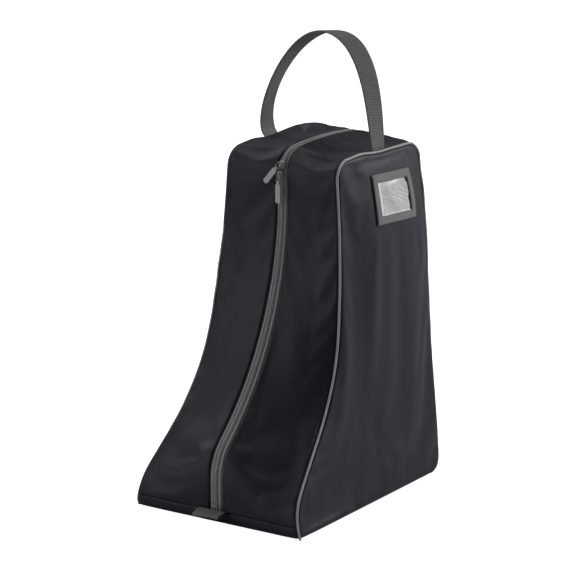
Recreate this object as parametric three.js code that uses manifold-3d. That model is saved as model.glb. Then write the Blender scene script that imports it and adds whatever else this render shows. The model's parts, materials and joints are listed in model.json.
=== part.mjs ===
// Boot bag: a tall zipped carrier for a pair of riding or walking boots. Millimetres, +Z up.
// The origin is the centre of the base's underside, the zipped front faces -Y, and +X is the bag's right side.
// Two side panels are joined by a front-and-top gusset that the zip splits in two, a rear panel and a stiffened
// base. Grey piping runs along both side seams, and a webbing handle is sewn into the seams at the top.
import * as THREE from 'three';
import { mergeVertices } from 'three/addons/utils/BufferGeometryUtils.js';
import Module from 'manifold-3d';

const wasm = await Module();
wasm.setup();
const rad = THREE.MathUtils.degToRad;
const { lerp, clamp } = THREE.MathUtils;

// ---- driving dimensions ----
const TOP_HEIGHT = 445;          // height at which the side panels reach their narrowest half width
const BASE_HALF_WIDTH = 128.5;
const TOP_HALF_WIDTH = 82.5;
const FRONT_TAPER = 0.0665;      // half width lost per millimetre of height along the front seam
const FOOT_FLARE = 15;           // extra half width at the foot of the front seam
const FOOT_FLARE_HEIGHT = 150;
const SIDE_BULGE = 10;           // how far a filled side panel stands out of its seams
const FABRIC = 1.6;              // coated nylon with its lining
const GAP = 0.3;                 // clearance between neighbouring pieces
const BASE_SEAM_HEIGHT = 16;     // the base panel turns up to this height at the front
const REAR_SEAM_HEIGHT = 395;    // cross seam where the gusset and zip meet the rear panel
const PIPING_RADIUS = 2;
const SEAM_MARGIN = PIPING_RADIUS + 2 * GAP;
const ZIP_OPENING = 8.2;         // half the width between the two fabric folds beside the zip
const TAPE_HALF_WIDTH = 12;
const TAPE_THICKNESS = 0.8;
const TAPE_DEPTH = FABRIC + GAP; // the tape lies under the fabric
const COIL_HALF_WIDTH = 2.9;
const COIL_PROUD = 0.4;          // how far the coil stands above the fabric
const WEBBING_WIDTH = 30;
const WEBBING_THICKNESS = 2;
const HANDLE_Y = 85;
const HANDLE_FOOT = 446.6;       // height at which the webbing leaves the seam
const HANDLE_TOP = 590;
const TAB_WIDTH = 41;
const TAB_REACH = 18;
const TAB_X = -4;                // the tab is sewn a little to the left of the zip

// ---- seam lines in the y-z plane ----
// A pen starts at (y, z) facing up, leaning back by a heading in degrees, and makes straight runs and round turns.
// A positive turn bends towards the back of the bag, a negative one towards the front.
class SeamLine {
  constructor(y, z, heading) {
    this.moves = [];
    this.pen = { y, z, heading: rad(heading) };
    this.length = 0;
  }

  run(length) {
    return this.add({ length, curvature: 0 });
  }

  turn(radius, degrees) {
    return this.add({ length: radius * rad(Math.abs(degrees)), curvature: Math.sign(degrees) / radius });
  }

  add(move) {
    this.moves.push({ ...move, start: this.pen, from: this.length });
    this.length += move.length;
    this.pen = SeamLine.advance(this.pen, move.curvature, move.length);
    return this;
  }

  static advance({ y, z, heading }, curvature, s) {
    const turned = heading + curvature * s;
    if (curvature === 0) {
      return { y: y + s * Math.sin(heading), z: z + s * Math.cos(heading), heading };
    }
    return {
      y: y + (Math.cos(heading) - Math.cos(turned)) / curvature,
      z: z + (Math.sin(turned) - Math.sin(heading)) / curvature,
      heading: turned,
    };
  }

  // The place s millimetres along the line, with its outward direction in the y-z plane.
  at(s) {
    const move = this.moves.findLast((m) => m.from <= s + 1e-9) ?? this.moves[0];
    const { y, z, heading } = SeamLine.advance(move.start, move.curvature, s - move.from);
    return { y, z, heading, out: [-Math.cos(heading), Math.sin(heading)] };
  }

  // The distance along the line, between s0 and s1, at which it reaches a height.
  reach(height, s0, s1) {
    const rising = this.at(s1).z > this.at(s0).z;
    let [low, high] = [s0, s1];
    for (let i = 0; i < 50; i += 1) {
      const middle = (low + high) / 2;
      if (this.at(middle).z < height === rising) low = middle;
      else high = middle;
    }
    return (low + high) / 2;
  }

  startOf(moveIndex) {
    return this.moves[moveIndex].from;
  }
}

// The zip's front run is one large arc, so a slider can follow it on a single pivot.
const FRONT_ARC_RADIUS = 375.4;
const TOP_CORNER_RADIUS = 36;
const zipLine = new SeamLine(-167.6, BASE_SEAM_HEIGHT, 0)
  .run(40.2)                        // front wall above the base seam
  .turn(65, 49)                     // toe
  .turn(FRONT_ARC_RADIUS, -53)      // instep and shaft
  .turn(TOP_CORNER_RADIUS, 90)      // front top corner
  .turn(650, 11.7)                  // crown of the top
  .turn(27, 82.3)                   // rear top corner
  .run(27);                         // down to the rear cross seam
const ZIP = { corner: 3, crown: 4, rearCorner: 5, drop: 6 };

const pipingLine = new SeamLine(-165.1, 0, -12.2)
  .turn(60, 56.2)                   // toe
  .run(77.2)
  .turn(238, -33)                   // instep
  .turn(891, -11)                   // shaft
  .run(22.2)
  .turn(24, 92)                     // front top corner
  .run(144.1)                       // top edge
  .turn(22, 88.5)                   // rear top corner
  .run(396)                         // rear edge
  .turn(22, 88.5);                  // rear bottom corner
const PIPING = { corner: 5, top: 6, rearCorner: 7, rear: 8, heel: 9 };

// ---- half width of the side panels ----
function frontHalfWidth(z) {
  const flare = FOOT_FLARE * Math.max(0, 1 - z / FOOT_FLARE_HEIGHT) ** 1.5;
  return TOP_HALF_WIDTH + FRONT_TAPER * Math.max(0, TOP_HEIGHT - z) + flare;
}

function rearHalfWidth(z) {
  return lerp(BASE_HALF_WIDTH, TOP_HALF_WIDTH, clamp(z / TOP_HEIGHT, 0, 1));
}

function frontSeamY(z) {
  const cornerStart = pipingLine.startOf(PIPING.corner);
  const height = clamp(z, 0, pipingLine.at(cornerStart).z);
  return pipingLine.at(pipingLine.reach(height, 0, cornerStart)).y;
}

function rearSeamY(z) {
  const { y, z: top } = pipingLine.at(pipingLine.startOf(PIPING.rear));
  return y - (top - z) * Math.tan(rad(0.5));
}

// Outer face of the right side panel: x over the y-z plane.
function sideX(y, z) {
  const [front, rear] = [frontSeamY(z), rearSeamY(z)];
  const along = clamp((y - front) / (rear - front), 0, 1);
  const bow = (1 - (2 * along - 1) ** 4) * (1 - (2 * clamp(z / TOP_HEIGHT, 0, 1) - 1) ** 4);
  return lerp(frontHalfWidth(z), rearHalfWidth(z), along) + SIDE_BULGE * bow;
}

// ---- stations: matching places on the zip line and the piping line, from the base seam over the top ----
function evenly(count, place) {
  return Array.from({ length: count }, (_, i) => place(i / count));
}

function stationAt(zipAt, pipingAt) {
  return {
    zip: zipLine.at(zipAt),
    piping: pipingLine.at(pipingAt),
    halfWidth: sideX(pipingLine.at(pipingAt).y, pipingLine.at(pipingAt).z),
  };
}

function between(zipFrom, zipTo, pipingFrom, pipingTo, count) {
  return evenly(count, (f) => stationAt(lerp(zipFrom, zipTo, f), lerp(pipingFrom, pipingTo, f)));
}

const zipCorner = zipLine.startOf(ZIP.corner);
const pipingCorner = pipingLine.startOf(PIPING.corner);
const rearSeamOnPiping = pipingLine.reach(
  REAR_SEAM_HEIGHT, pipingLine.startOf(PIPING.rear), pipingLine.startOf(PIPING.heel));

function frontStation(f) {
  const zipHeight = lerp(BASE_SEAM_HEIGHT, zipLine.at(zipCorner).z, f);
  const pipingHeight = lerp(BASE_SEAM_HEIGHT, pipingLine.at(pipingCorner).z, f);
  return stationAt(
    zipLine.reach(zipHeight, 0, zipCorner), pipingLine.reach(pipingHeight, 0, pipingCorner));
}

const stations = [
  ...evenly(24, frontStation),
  ...between(zipCorner, zipLine.startOf(ZIP.crown), pipingCorner, pipingLine.startOf(PIPING.top), 8),
  ...between(zipLine.startOf(ZIP.crown), zipLine.startOf(ZIP.rearCorner),
    pipingLine.startOf(PIPING.top), pipingLine.startOf(PIPING.rearCorner), 6),
  ...between(zipLine.startOf(ZIP.rearCorner), zipLine.startOf(ZIP.drop),
    pipingLine.startOf(PIPING.rearCorner), pipingLine.startOf(PIPING.rear), 5),
  stationAt(zipLine.startOf(ZIP.drop), pipingLine.startOf(PIPING.rear)),
  stationAt(zipLine.length, rearSeamOnPiping),
];

// A point of the gusset at x, sunk below its outer face. Across the bag the gusset is crowned like a barrel.
function gussetPoint({ zip, piping, halfWidth }, x, depth) {
  const across = (x / halfWidth) ** 2;
  const out = [lerp(zip.out[0], piping.out[0], across), lerp(zip.out[1], piping.out[1], across)];
  const size = Math.hypot(...out);
  return new THREE.Vector3(
    x,
    lerp(zip.y, piping.y, across) - (depth * out[0]) / size,
    lerp(zip.z, piping.z, across) - (depth * out[1]) / size,
  );
}

// ---- solids ----
// A closed solid between two matching grids of points, rows by columns.
function sheet(outer, inner) {
  const [rows, columns] = [outer.length, outer[0].length];
  const points = [...outer.flat(), ...inner.flat()];
  const index = (side, r, c) => side * rows * columns + r * columns + c;
  const faces = [];
  const quad = (a, b, c, d) => faces.push(a, b, c, a, c, d);
  for (let r = 0; r + 1 < rows; r += 1) {
    for (let c = 0; c + 1 < columns; c += 1) {
      quad(index(0, r, c), index(0, r, c + 1), index(0, r + 1, c + 1), index(0, r + 1, c));
      quad(index(1, r, c), index(1, r + 1, c), index(1, r + 1, c + 1), index(1, r, c + 1));
    }
    quad(index(0, r, 0), index(0, r + 1, 0), index(1, r + 1, 0), index(1, r, 0));
    const last = columns - 1;
    quad(index(0, r, last), index(1, r, last), index(1, r + 1, last), index(0, r + 1, last));
  }
  for (let c = 0; c + 1 < columns; c += 1) {
    quad(index(0, 0, c), index(1, 0, c), index(1, 0, c + 1), index(0, 0, c + 1));
    const last = rows - 1;
    quad(index(0, last, c), index(0, last, c + 1), index(1, last, c + 1), index(1, last, c));
  }
  return solid(points, faces);
}

// A closed solid through matching rings of points, with flat ends.
function sweep(rings) {
  const count = rings[0].length;
  const points = rings.flat();
  const faces = [];
  for (let r = 0; r + 1 < rings.length; r += 1) {
    for (let i = 0; i < count; i += 1) {
      const [a, b] = [r * count + i, r * count + ((i + 1) % count)];
      faces.push(a, b, b + count, a, b + count, a + count);
    }
  }
  const end = points.length - count;
  for (let i = 1; i + 1 < count; i += 1) {
    faces.push(0, i + 1, i, end, end + i, end + i + 1);
  }
  return solid(points, faces);
}

// Faces are turned to point out of the solid, whichever way round its points were listed.
function solid(points, faces) {
  let volume = 0;
  for (let i = 0; i < faces.length; i += 3) {
    const [a, b, c] = [points[faces[i]], points[faces[i + 1]], points[faces[i + 2]]];
    volume += a.dot(new THREE.Vector3().crossVectors(b, c));
  }
  const outward = volume > 0 ? faces : faces.toReversed();
  const geometry = new THREE.BufferGeometry().setFromPoints(points);
  geometry.setIndex(outward);
  return geometry;
}

function mirrored(geometry) {
  const copy = geometry.clone().applyMatrix4(new THREE.Matrix4().makeScale(-1, 1, 1));
  copy.setIndex([...copy.index.array].toReversed());
  return copy;
}

function toManifold(geometry) {
  const bare = geometry.clone();
  bare.deleteAttribute('normal');
  bare.deleteAttribute('uv');
  const merged = mergeVertices(bare, 1e-4);
  return new wasm.Manifold(new wasm.Mesh({
    numProp: 3,
    vertProperties: new Float32Array(merged.attributes.position.array),
    triVerts: new Uint32Array(merged.index.array),
  }));
}

function fromManifold(body) {
  const { vertProperties, triVerts } = body.getMesh();
  const geometry = new THREE.BufferGeometry();
  geometry.setAttribute('position', new THREE.BufferAttribute(vertProperties, 3));
  geometry.setIndex(new THREE.BufferAttribute(triVerts, 1));
  return geometry;
}

function join(...geometries) {
  return fromManifold(geometries.map(toManifold).reduce((all, one) => all.add(one)));
}

function cut(geometry, ...tools) {
  return fromManifold(tools.map(toManifold).reduce((rest, tool) => rest.subtract(tool), toManifold(geometry)));
}

function box(x0, x1, y0, y1, z0, z1) {
  return new THREE.BoxGeometry(x1 - x0, y1 - y0, z1 - z0)
    .translate((x0 + x1) / 2, (y0 + y1) / 2, (z0 + z1) / 2);
}

function roundedRectangle(path, x0, x1, z0, z1, radius) {
  path.moveTo(x0 + radius, z0);
  path.lineTo(x1 - radius, z0);
  path.absarc(x1 - radius, z0 + radius, radius, -Math.PI / 2, 0);
  path.lineTo(x1, z1 - radius);
  path.absarc(x1 - radius, z1 - radius, radius, 0, Math.PI / 2);
  path.lineTo(x0 + radius, z1);
  path.absarc(x0 + radius, z1 - radius, radius, Math.PI / 2, Math.PI);
  path.lineTo(x0, z0 + radius);
  path.absarc(x0 + radius, z0 + radius, radius, Math.PI, 1.5 * Math.PI);
  return path;
}

// A flat shape drawn in x and z, thickened along y from y0 to y1.
function plateInXZ(shape, y0, y1, curveSegments = 4) {
  return new THREE.ExtrudeGeometry(shape, { depth: y1 - y0, bevelEnabled: false, curveSegments })
    .rotateX(Math.PI / 2)
    .translate(0, y1, 0);
}

// A flat shape drawn in y and z, thickened along x from x0 to x1.
function plateInYZ(shape, x0, x1, curveSegments = 4) {
  return new THREE.ExtrudeGeometry(shape, { depth: x1 - x0, bevelEnabled: false, curveSegments })
    .applyMatrix4(new THREE.Matrix4().makeBasis(
      new THREE.Vector3(0, 1, 0), new THREE.Vector3(0, 0, 1), new THREE.Vector3(1, 0, 0)))
    .translate(x0, 0, 0);
}

// ---- materials ----
const paint = (color, roughness, metalness = 0) =>
  new THREE.MeshStandardMaterial({ color, roughness, metalness });
const nylon = () => paint(0x26262c, 0.55);
const lining = () => paint(0x1d1d20, 0.8);
const pipingCord = () => paint(0x77777a, 0.6);
const zipTape = () => paint(0x4c4c4e, 0.85);
const coilPlastic = () => paint(0x5a5a5c, 0.5);
const webbing = () => paint(0x4f4f51, 0.85);
const castMetal = () => paint(0x8a8a8c, 0.35, 0.8);
const mouldedRubber = () => paint(0x98989a, 0.5);
const clearFilm = () => paint(0xc4c6c8, 0.15);
const stiffBoard = () => paint(0x2a2a2a, 0.8);

const bag = new THREE.Group();

function add(name, geometry, material) {
  const mesh = new THREE.Mesh(geometry, material);
  mesh.name = name;
  bag.add(mesh);
  return mesh;
}

function addPair(name, geometry, material) {
  add(`${name}_right`, geometry, material());
  add(`${name}_left`, mirrored(geometry), material());
}

// ---- side panels ----
const SIDE_COLUMNS = 9;

function inset(s, margin) {
  const { y, z, out } = pipingLine.at(s);
  return { y: y - margin * out[0], z: z - margin * out[1] };
}

// Rows run from the front seam to the rear seam, at matching places on the two.
function sidePanelRows() {
  const frontStart = 0;
  const topFront = pipingLine.startOf(PIPING.top);
  const topRear = pipingLine.startOf(PIPING.rearCorner);
  const rearStart = pipingLine.startOf(PIPING.rear);
  const heel = pipingLine.startOf(PIPING.heel);
  const rows = [];
  for (const f of evenly(3, (part) => part)) {
    const height = 22 * f;
    rows.push([pipingLine.reach(height, frontStart, pipingCorner), lerp(pipingLine.length, heel, f)]);
  }
  const [low, high] = [22, pipingLine.at(pipingCorner).z];
  for (const f of evenly(20, (part) => part)) {
    rows.push([
      pipingLine.reach(lerp(low, high, f), frontStart, pipingCorner),
      pipingLine.reach(lerp(low, pipingLine.at(rearStart).z, f), rearStart, heel),
    ]);
  }
  for (const f of evenly(4, (part) => part)) {
    rows.push([lerp(pipingCorner, topFront, f), lerp(rearStart, topRear, f)]);
  }
  rows.push([topFront, topRear]);
  return rows.map(([front, rear]) => [inset(front, SEAM_MARGIN), inset(rear, SEAM_MARGIN)]);
}

function sidePanel() {
  const outer = sidePanelRows().map(([front, rear]) =>
    Array.from({ length: SIDE_COLUMNS + 1 }, (_, c) => {
      const y = lerp(front.y, rear.y, c / SIDE_COLUMNS);
      const z = Math.max(0, lerp(front.z, rear.z, c / SIDE_COLUMNS));
      return new THREE.Vector3(sideX(y, z), y, z);
    }));
  const inner = outer.map((row) => row.map((p) => new THREE.Vector3(p.x - FABRIC, p.y, p.z)));
  return sheet(outer, inner);
}

addPair('side_panel', sidePanel(), nylon);

// ---- front and top gusset, one half each side of the zip ----
function gussetSheet(from, to, columns, depth, thickness, rows = stations) {
  const grid = (sunk) => rows.map((station) =>
    Array.from({ length: columns + 1 }, (_, c) => {
      const x = lerp(from(station), to(station), c / columns);
      return gussetPoint(station, x, sunk);
    }));
  return sheet(grid(depth), grid(depth + thickness));
}

const overSeam = ({ halfWidth }) => halfWidth - SEAM_MARGIN;
addPair('gusset', gussetSheet(() => ZIP_OPENING, overSeam, 6, 0, FABRIC), nylon);

// ---- zip: tapes under the fabric folds, and the coil that stands up between them ----
const tape = gussetSheet(() => GAP, () => TAPE_HALF_WIDTH, 2, TAPE_DEPTH, TAPE_THICKNESS);
addPair('zip_tape', tape, zipTape);

const COIL_FOOT = 11;            // the coil starts above the front stop, this far up from the base seam
const coilFoot = COIL_FOOT / (zipLine.at(zipCorner).z - BASE_SEAM_HEIGHT);
const coilStations = [frontStation(coilFoot), ...stations.slice(1)];
const coilThickness = TAPE_DEPTH - GAP + COIL_PROUD;
const coil = gussetSheet(
  () => GAP / 2, () => COIL_HALF_WIDTH, 1, -COIL_PROUD, coilThickness, coilStations);
addPair('zip_coil', coil, coilPlastic);

// ---- piping along the side seams ----
const PIPING_SIDES = 6;

function pipingRing(s) {
  const { y, z, out } = pipingLine.at(s);
  const x = sideX(y, z);
  return Array.from({ length: PIPING_SIDES }, (_, i) => {
    const angle = (2 * Math.PI * i) / PIPING_SIDES;
    const across = PIPING_RADIUS * Math.cos(angle);
    const along = PIPING_RADIUS * Math.sin(angle);
    return new THREE.Vector3(x + across, y + along * out[0], z + along * out[1]);
  });
}

function piping() {
  const marks = [
    pipingLine.reach(3, 0, pipingCorner), pipingLine.startOf(1), pipingLine.startOf(2), pipingLine.startOf(3),
    pipingLine.startOf(4), pipingCorner, pipingLine.startOf(PIPING.top), pipingLine.startOf(PIPING.rearCorner),
    pipingLine.startOf(PIPING.rear), pipingLine.startOf(PIPING.heel),
    pipingLine.startOf(PIPING.heel) + 22 * rad(50),
  ];
  const steps = [5, 3, 6, 4, 1, 6, 6, 6, 8, 4];
  const places = steps.flatMap((count, i) => evenly(count, (f) => lerp(marks[i], marks[i + 1], f)));
  return sweep([...places, marks.at(-1)].map(pipingRing));
}

addPair('piping', piping(), pipingCord);

// ---- binding tape over the raw edges of the side seams, inside the bag ----
const BINDING_WIDTH = 9;
const BINDING_DEPTH = FABRIC + 2 * GAP;
const BINDING_THICKNESS = 1;

function bindingRow(s, depth) {
  const { y, z, out } = pipingLine.at(s);
  const edge = sideX(y, z) - SEAM_MARGIN - FABRIC;
  return [edge, edge - BINDING_WIDTH].map((x) =>
    new THREE.Vector3(x, y - depth * out[0], z - depth * out[1]));
}

function binding() {
  const start = pipingLine.reach(BASE_SEAM_HEIGHT + 2, 0, pipingCorner);
  const top = pipingLine.startOf(PIPING.top);
  const rearCorner = pipingLine.startOf(PIPING.rearCorner);
  const rear = pipingLine.startOf(PIPING.rear);
  const places = [
    ...evenly(16, (f) => lerp(start, pipingCorner, f)),
    ...evenly(6, (f) => lerp(pipingCorner, top, f)),
    ...evenly(2, (f) => lerp(top, rearCorner, f)),
    ...evenly(5, (f) => lerp(rearCorner, rear, f)),
    ...evenly(4, (f) => lerp(rear, pipingLine.startOf(PIPING.heel), f)),
    pipingLine.startOf(PIPING.heel),
  ];
  return sheet(
    places.map((s) => bindingRow(s, BINDING_DEPTH)),
    places.map((s) => bindingRow(s, BINDING_DEPTH + BINDING_THICKNESS)));
}

addPair('seam_binding', binding(), lining);

// ---- rear panel, from the cross seam down to the base ----
const REAR_COLUMNS = 8;
const REAR_BULGE = 6;

function rearPanelPoint(s, across, depth) {
  const { y, z, out } = pipingLine.at(s);
  const halfWidth = sideX(y, z) - SEAM_MARGIN;
  const swell = REAR_BULGE * (1 - across ** 4) * (1 - (2 * clamp(z / REAR_SEAM_HEIGHT, 0, 1) - 1) ** 4);
  const raise = swell - depth;
  return new THREE.Vector3(across * halfWidth, y + raise * out[0], z + raise * out[1]);
}

function rearPanel() {
  const start = rearSeamOnPiping + 2 * GAP;
  const heel = pipingLine.startOf(PIPING.heel);
  const places = [
    ...evenly(8, (f) => lerp(start, heel, f)),
    ...evenly(4, (f) => lerp(heel, pipingLine.length, f)),
    pipingLine.length,
  ];
  const grid = (depth) => places.map((s) =>
    Array.from({ length: REAR_COLUMNS + 1 }, (_, c) => rearPanelPoint(s, (2 * c) / REAR_COLUMNS - 1, depth)));
  return sheet(grid(0), grid(FABRIC));
}

add('rear_panel', rearPanel(), nylon());

// ---- base: an outer panel that turns up at the front, a stiff board over it, and its seam binding ----
const BASE_EDGE = frontHalfWidth(BASE_SEAM_HEIGHT) - SEAM_MARGIN;
const HEEL_Y = pipingLine.at(pipingLine.length).y;
const TOE_Y = zipLine.at(0).y;

function basePanel() {
  const profile = new THREE.Shape();
  const seam = BASE_SEAM_HEIGHT - GAP;
  profile.moveTo(TOE_Y + 1, seam);
  profile.lineTo(TOE_Y + 1, 5);
  profile.absarc(TOE_Y + 6, 5, 5, Math.PI, 1.5 * Math.PI);
  profile.lineTo(HEEL_Y - 2 * GAP, 0);
  profile.lineTo(HEEL_Y - 2 * GAP, FABRIC);
  profile.lineTo(TOE_Y + 6, FABRIC);
  profile.absarc(TOE_Y + 6, 5, 5 - FABRIC, 1.5 * Math.PI, Math.PI, true);
  profile.lineTo(TOE_Y + 1 + FABRIC, seam);
  return plateInYZ(profile, -BASE_EDGE, BASE_EDGE);
}

const BOARD_THICKNESS = 2.5;
const BOARD_BOTTOM = FABRIC + 2 * GAP;
const BOARD_INSET = 11;

function baseOutline(path, inward) {
  return roundedRectangle(
    path, -BASE_EDGE + inward, BASE_EDGE - inward, TOE_Y + 4 + inward, HEEL_Y - inward, 15);
}

function layFlat(geometry, z) {
  return geometry.translate(0, 0, z);
}

function baseBoard() {
  const outline = baseOutline(new THREE.Shape(), BOARD_INSET);
  const board = new THREE.ExtrudeGeometry(outline, { depth: BOARD_THICKNESS, bevelEnabled: false, curveSegments: 4 });
  return layFlat(board, BOARD_BOTTOM);
}

function baseBinding() {
  const outline = baseOutline(new THREE.Shape(), 2);
  outline.holes.push(baseOutline(new THREE.Path(), 3));
  const ring = new THREE.ExtrudeGeometry(outline, { depth: BINDING_WIDTH, bevelEnabled: false, curveSegments: 4 });
  return layFlat(ring, BOARD_BOTTOM + BOARD_THICKNESS + GAP);
}

add('base_panel', basePanel(), nylon());
add('base_board', baseBoard(), stiffBoard());
add('base_seam_binding', baseBinding(), lining());

// ---- webbing tab at the foot of the zip: a folded strip whose ends are sewn into the base seam ----
function zipTab() {
  const [thickness, layer, slope] = [3.6, 1.2, 7];
  const loop = new THREE.Shape();
  const [low, high] = [-thickness / 2, thickness / 2];
  loop.moveTo(0, low);
  loop.lineTo(TAB_REACH - high, low);
  loop.absarc(TAB_REACH - high, 0, high, -Math.PI / 2, Math.PI / 2);
  loop.lineTo(0, high);
  loop.lineTo(0, high - layer);
  loop.lineTo(TAB_REACH - high, high - layer);
  loop.absarc(TAB_REACH - high, 0, high - layer, Math.PI / 2, -Math.PI / 2, true);
  loop.lineTo(0, low + layer);
  return plateInYZ(loop, -TAB_WIDTH / 2, TAB_WIDTH / 2, 6)
    .rotateX(Math.PI + rad(slope))
    .translate(TAB_X, TOE_Y - 3 * GAP, BASE_SEAM_HEIGHT + 1);
}

add('zip_tab', zipTab(), webbing());

// ---- handle: one loop of webbing standing over the bag ----
const HANDLE_PIVOT = HANDLE_FOOT + WEBBING_WIDTH / 2;

function arch(footX, ...rest) {
  const points = [[footX, HANDLE_FOOT], ...rest].map(([x, z]) => new THREE.Vector2(x, z));
  return new THREE.CubicBezierCurve(...points);
}

// The webbing's front and rear edges rise from the same feet, but the rear edge crowns further to the right,
// so the strap twists as it goes over.
const FRONT_CROWN = 0;
const REAR_CROWN = 16;
const handleSides = [
  {
    front: arch(-86, [-106, 475], [-50, HANDLE_TOP], [FRONT_CROWN, HANDLE_TOP]),
    rear: arch(-86, [-107, 488], [-45, HANDLE_TOP - 2], [REAR_CROWN, HANDLE_TOP - 2]),
  },
  {
    front: arch(82, [71, 496], [62, HANDLE_TOP], [FRONT_CROWN, HANDLE_TOP]),
    rear: arch(82, [79, 484], [77, HANDLE_TOP - 2], [REAR_CROWN, HANDLE_TOP - 2]),
  },
];

// The foot of the webbing is rounded about the pivot, so that it can tip without meeting the seam.
function footTaper(z) {
  const below = Math.max(0, HANDLE_PIVOT - z) / (WEBBING_WIDTH / 2);
  return Math.sqrt(Math.max(1 - below ** 2, 0.02));
}

// The strap's edges at a fraction f from the foot to the crown, and its direction there.
function webbingAt({ front, rear }, f) {
  const [a, b] = [front.getPoint(f), rear.getPoint(f)];
  const [dx, dz] = [b.x - a.x, b.y - a.y];
  const dy = Math.sqrt(WEBBING_WIDTH ** 2 - dx ** 2 - dz ** 2);
  const middle = new THREE.Vector3((a.x + b.x) / 2, HANDLE_Y, (a.y + b.y) / 2);
  const half = new THREE.Vector3(dx, dy, dz).multiplyScalar(footTaper(middle.z) / 2);
  const tangent = front.getTangent(f).add(rear.getTangent(f));
  const along = new THREE.Vector3(tangent.x, 0, tangent.y);
  return { middle, half, along };
}

function handle() {
  const [left, right] = handleSides;
  const steps = 22;
  const rise = (f) => f ** 1.5;
  const strap = [
    ...evenly(steps, (f) => webbingAt(left, rise(f))),
    webbingAt(left, 1),
    ...evenly(steps, (f) => webbingAt(right, rise(f))).toReversed().map((place) => (
      { ...place, along: place.along.negate() })),
  ];
  const layer = (side) => strap.map(({ middle, half, along }) => {
    const normal = new THREE.Vector3().crossVectors(along, half).normalize();
    const centre = middle.clone().addScaledVector(normal, (side * WEBBING_THICKNESS) / 2);
    return [-1, 0, 1].map((across) => centre.clone().addScaledVector(half, across));
  });
  return sheet(layer(1), layer(-1));
}

add('handle', handle(), webbing());

// ---- name-card window on the right side: a clear film held by a woven frame ----
const WINDOW = { y: 97, z: 383, width: 89, height: 64, border: 11, tilt: -3, overlap: 4 };

// A flat shape in the window's own plane, wrapped onto the side panel between two stand-offs.
function onSidePanel(rows, columns, place, from, to) {
  const tilt = rad(WINDOW.tilt);
  const grid = (standOff) => Array.from({ length: rows + 1 }, (_, r) =>
    Array.from({ length: columns + 1 }, (_unused, c) => {
      const [a, b] = place(c / columns, r / rows);
      const y = WINDOW.y + a * Math.cos(tilt) - b * Math.sin(tilt);
      const z = WINDOW.z + a * Math.sin(tilt) + b * Math.cos(tilt);
      return new THREE.Vector3(sideX(y, z) + standOff, y, z);
    }));
  return sheet(grid(to), grid(from));
}

function windowFrame() {
  const { width, height, border } = WINDOW;
  const [w, h] = [width / 2, height / 2];
  const strip = (a0, a1, b0, b1, columns, rows) => onSidePanel(
    rows, columns, (p, q) => [lerp(a0, a1, p), lerp(b0, b1, q)], 1.7, 2.9);
  return join(
    strip(-w, w, h - border, h, 8, 1),
    strip(-w, w, -h, border - h, 8, 1),
    strip(-w, border - w, -h, h, 1, 6),
    strip(w - border, w, -h, h, 1, 6));
}

function windowFilm() {
  const { width, height, border, overlap } = WINDOW;
  const [w, h] = [width / 2 - border + overlap, height / 2 - border + overlap];
  return onSidePanel(5, 6, (p, q) => [lerp(-w, w, p), lerp(-h, h, q)], 0.7, 1.2);
}

add('window_frame', windowFrame(), webbing());
add('window_film', windowFilm(), clearFilm());

// ---- sliders and pulls ----
// A slider is drawn upright, with z up the zip and -y out of the bag, and y = 0 on the fabric's outer face.
const SLIDER_LENGTH = 10.6;
const PLATE = { under: -0.9, top: -2.7 };
const BRIDGE = { half: 0.8, reach: 3.3, top: -5.4, bar: 0.9 };
const SLIDER_HALF_WIDTH = 4.3;

function sliderBody() {
  const half = SLIDER_LENGTH / 2;
  const shield = new THREE.Shape();
  shield.moveTo(-3, -half);
  shield.lineTo(3, -half);
  shield.lineTo(SLIDER_HALF_WIDTH, half - 3);
  shield.absarc(SLIDER_HALF_WIDTH - 3, half - 3, 3, 0, Math.PI / 2);
  shield.absarc(3 - SLIDER_HALF_WIDTH, half - 3, 3, Math.PI / 2, Math.PI);
  const plate = plateInXZ(shield, PLATE.top, PLATE.under);
  const flange = (x) => box(x - 0.4, x + 0.4, PLATE.under - 0.2, 1.2, -2, 2);
  const arch = box(-BRIDGE.half, BRIDGE.half, BRIDGE.top, PLATE.top + 0.3, -BRIDGE.reach, BRIDGE.reach);
  const eye = box(-2, 2, BRIDGE.top + BRIDGE.bar, PLATE.top, BRIDGE.bar - BRIDGE.reach, BRIDGE.reach - BRIDGE.bar);
  return join(plate, flange(-3.75), flange(3.75), cut(arch, eye));
}

const CORD = { half: 2.5, thick: 1.2, above: 1.6, reach: 8 };
const GRIP = { width: 7, length: 25, thick: 2.8, eye: 1.9, bore: 1.1, below: 1 };

// The cord loop hangs from a point at the origin; its lower bar passes through the grip's eye.
function cordLoop() {
  const { half, thick, above, reach } = CORD;
  const t = thick / 2;
  const loop = roundedRectangle(new THREE.Shape(), -half - t, half + t, -reach - t, above + t, 1.4);
  loop.holes.push(roundedRectangle(new THREE.Path(), t - half, half - t, t - reach, above - t, 0.5));
  return plateInXZ(loop, -t, t, 3);
}

function pullGrip() {
  const { width, length, thick, eye, bore, below } = GRIP;
  const top = -CORD.reach;
  const neck = CORD.half - CORD.thick / 2 - GAP;
  const shoulder = top - CORD.thick / 2 - below;
  const paddle = plateInXZ(
    roundedRectangle(new THREE.Shape(), -width / 2, width / 2, shoulder - length, shoulder, 2.6),
    -thick / 2, thick / 2);
  const collar = new THREE.CylinderGeometry(eye, eye, 2 * neck, 14).rotateZ(Math.PI / 2).translate(0, 0, top);
  const stem = box(-neck, neck, -thick / 2, thick / 2, top - 4, top);
  const hole = new THREE.CylinderGeometry(bore, bore, 8, 14).rotateZ(Math.PI / 2).translate(0, 0, top);
  return cut(join(paddle, collar, stem), hole);
}

function onZip({ y, z, heading }) {
  const group = new THREE.Group();
  group.position.set(0, y, z);
  group.rotation.x = -heading;
  bag.add(group);
  return group;
}

function addTo(group, name, geometry, material) {
  group.add(Object.assign(new THREE.Mesh(geometry, material), { name }));
}

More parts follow.
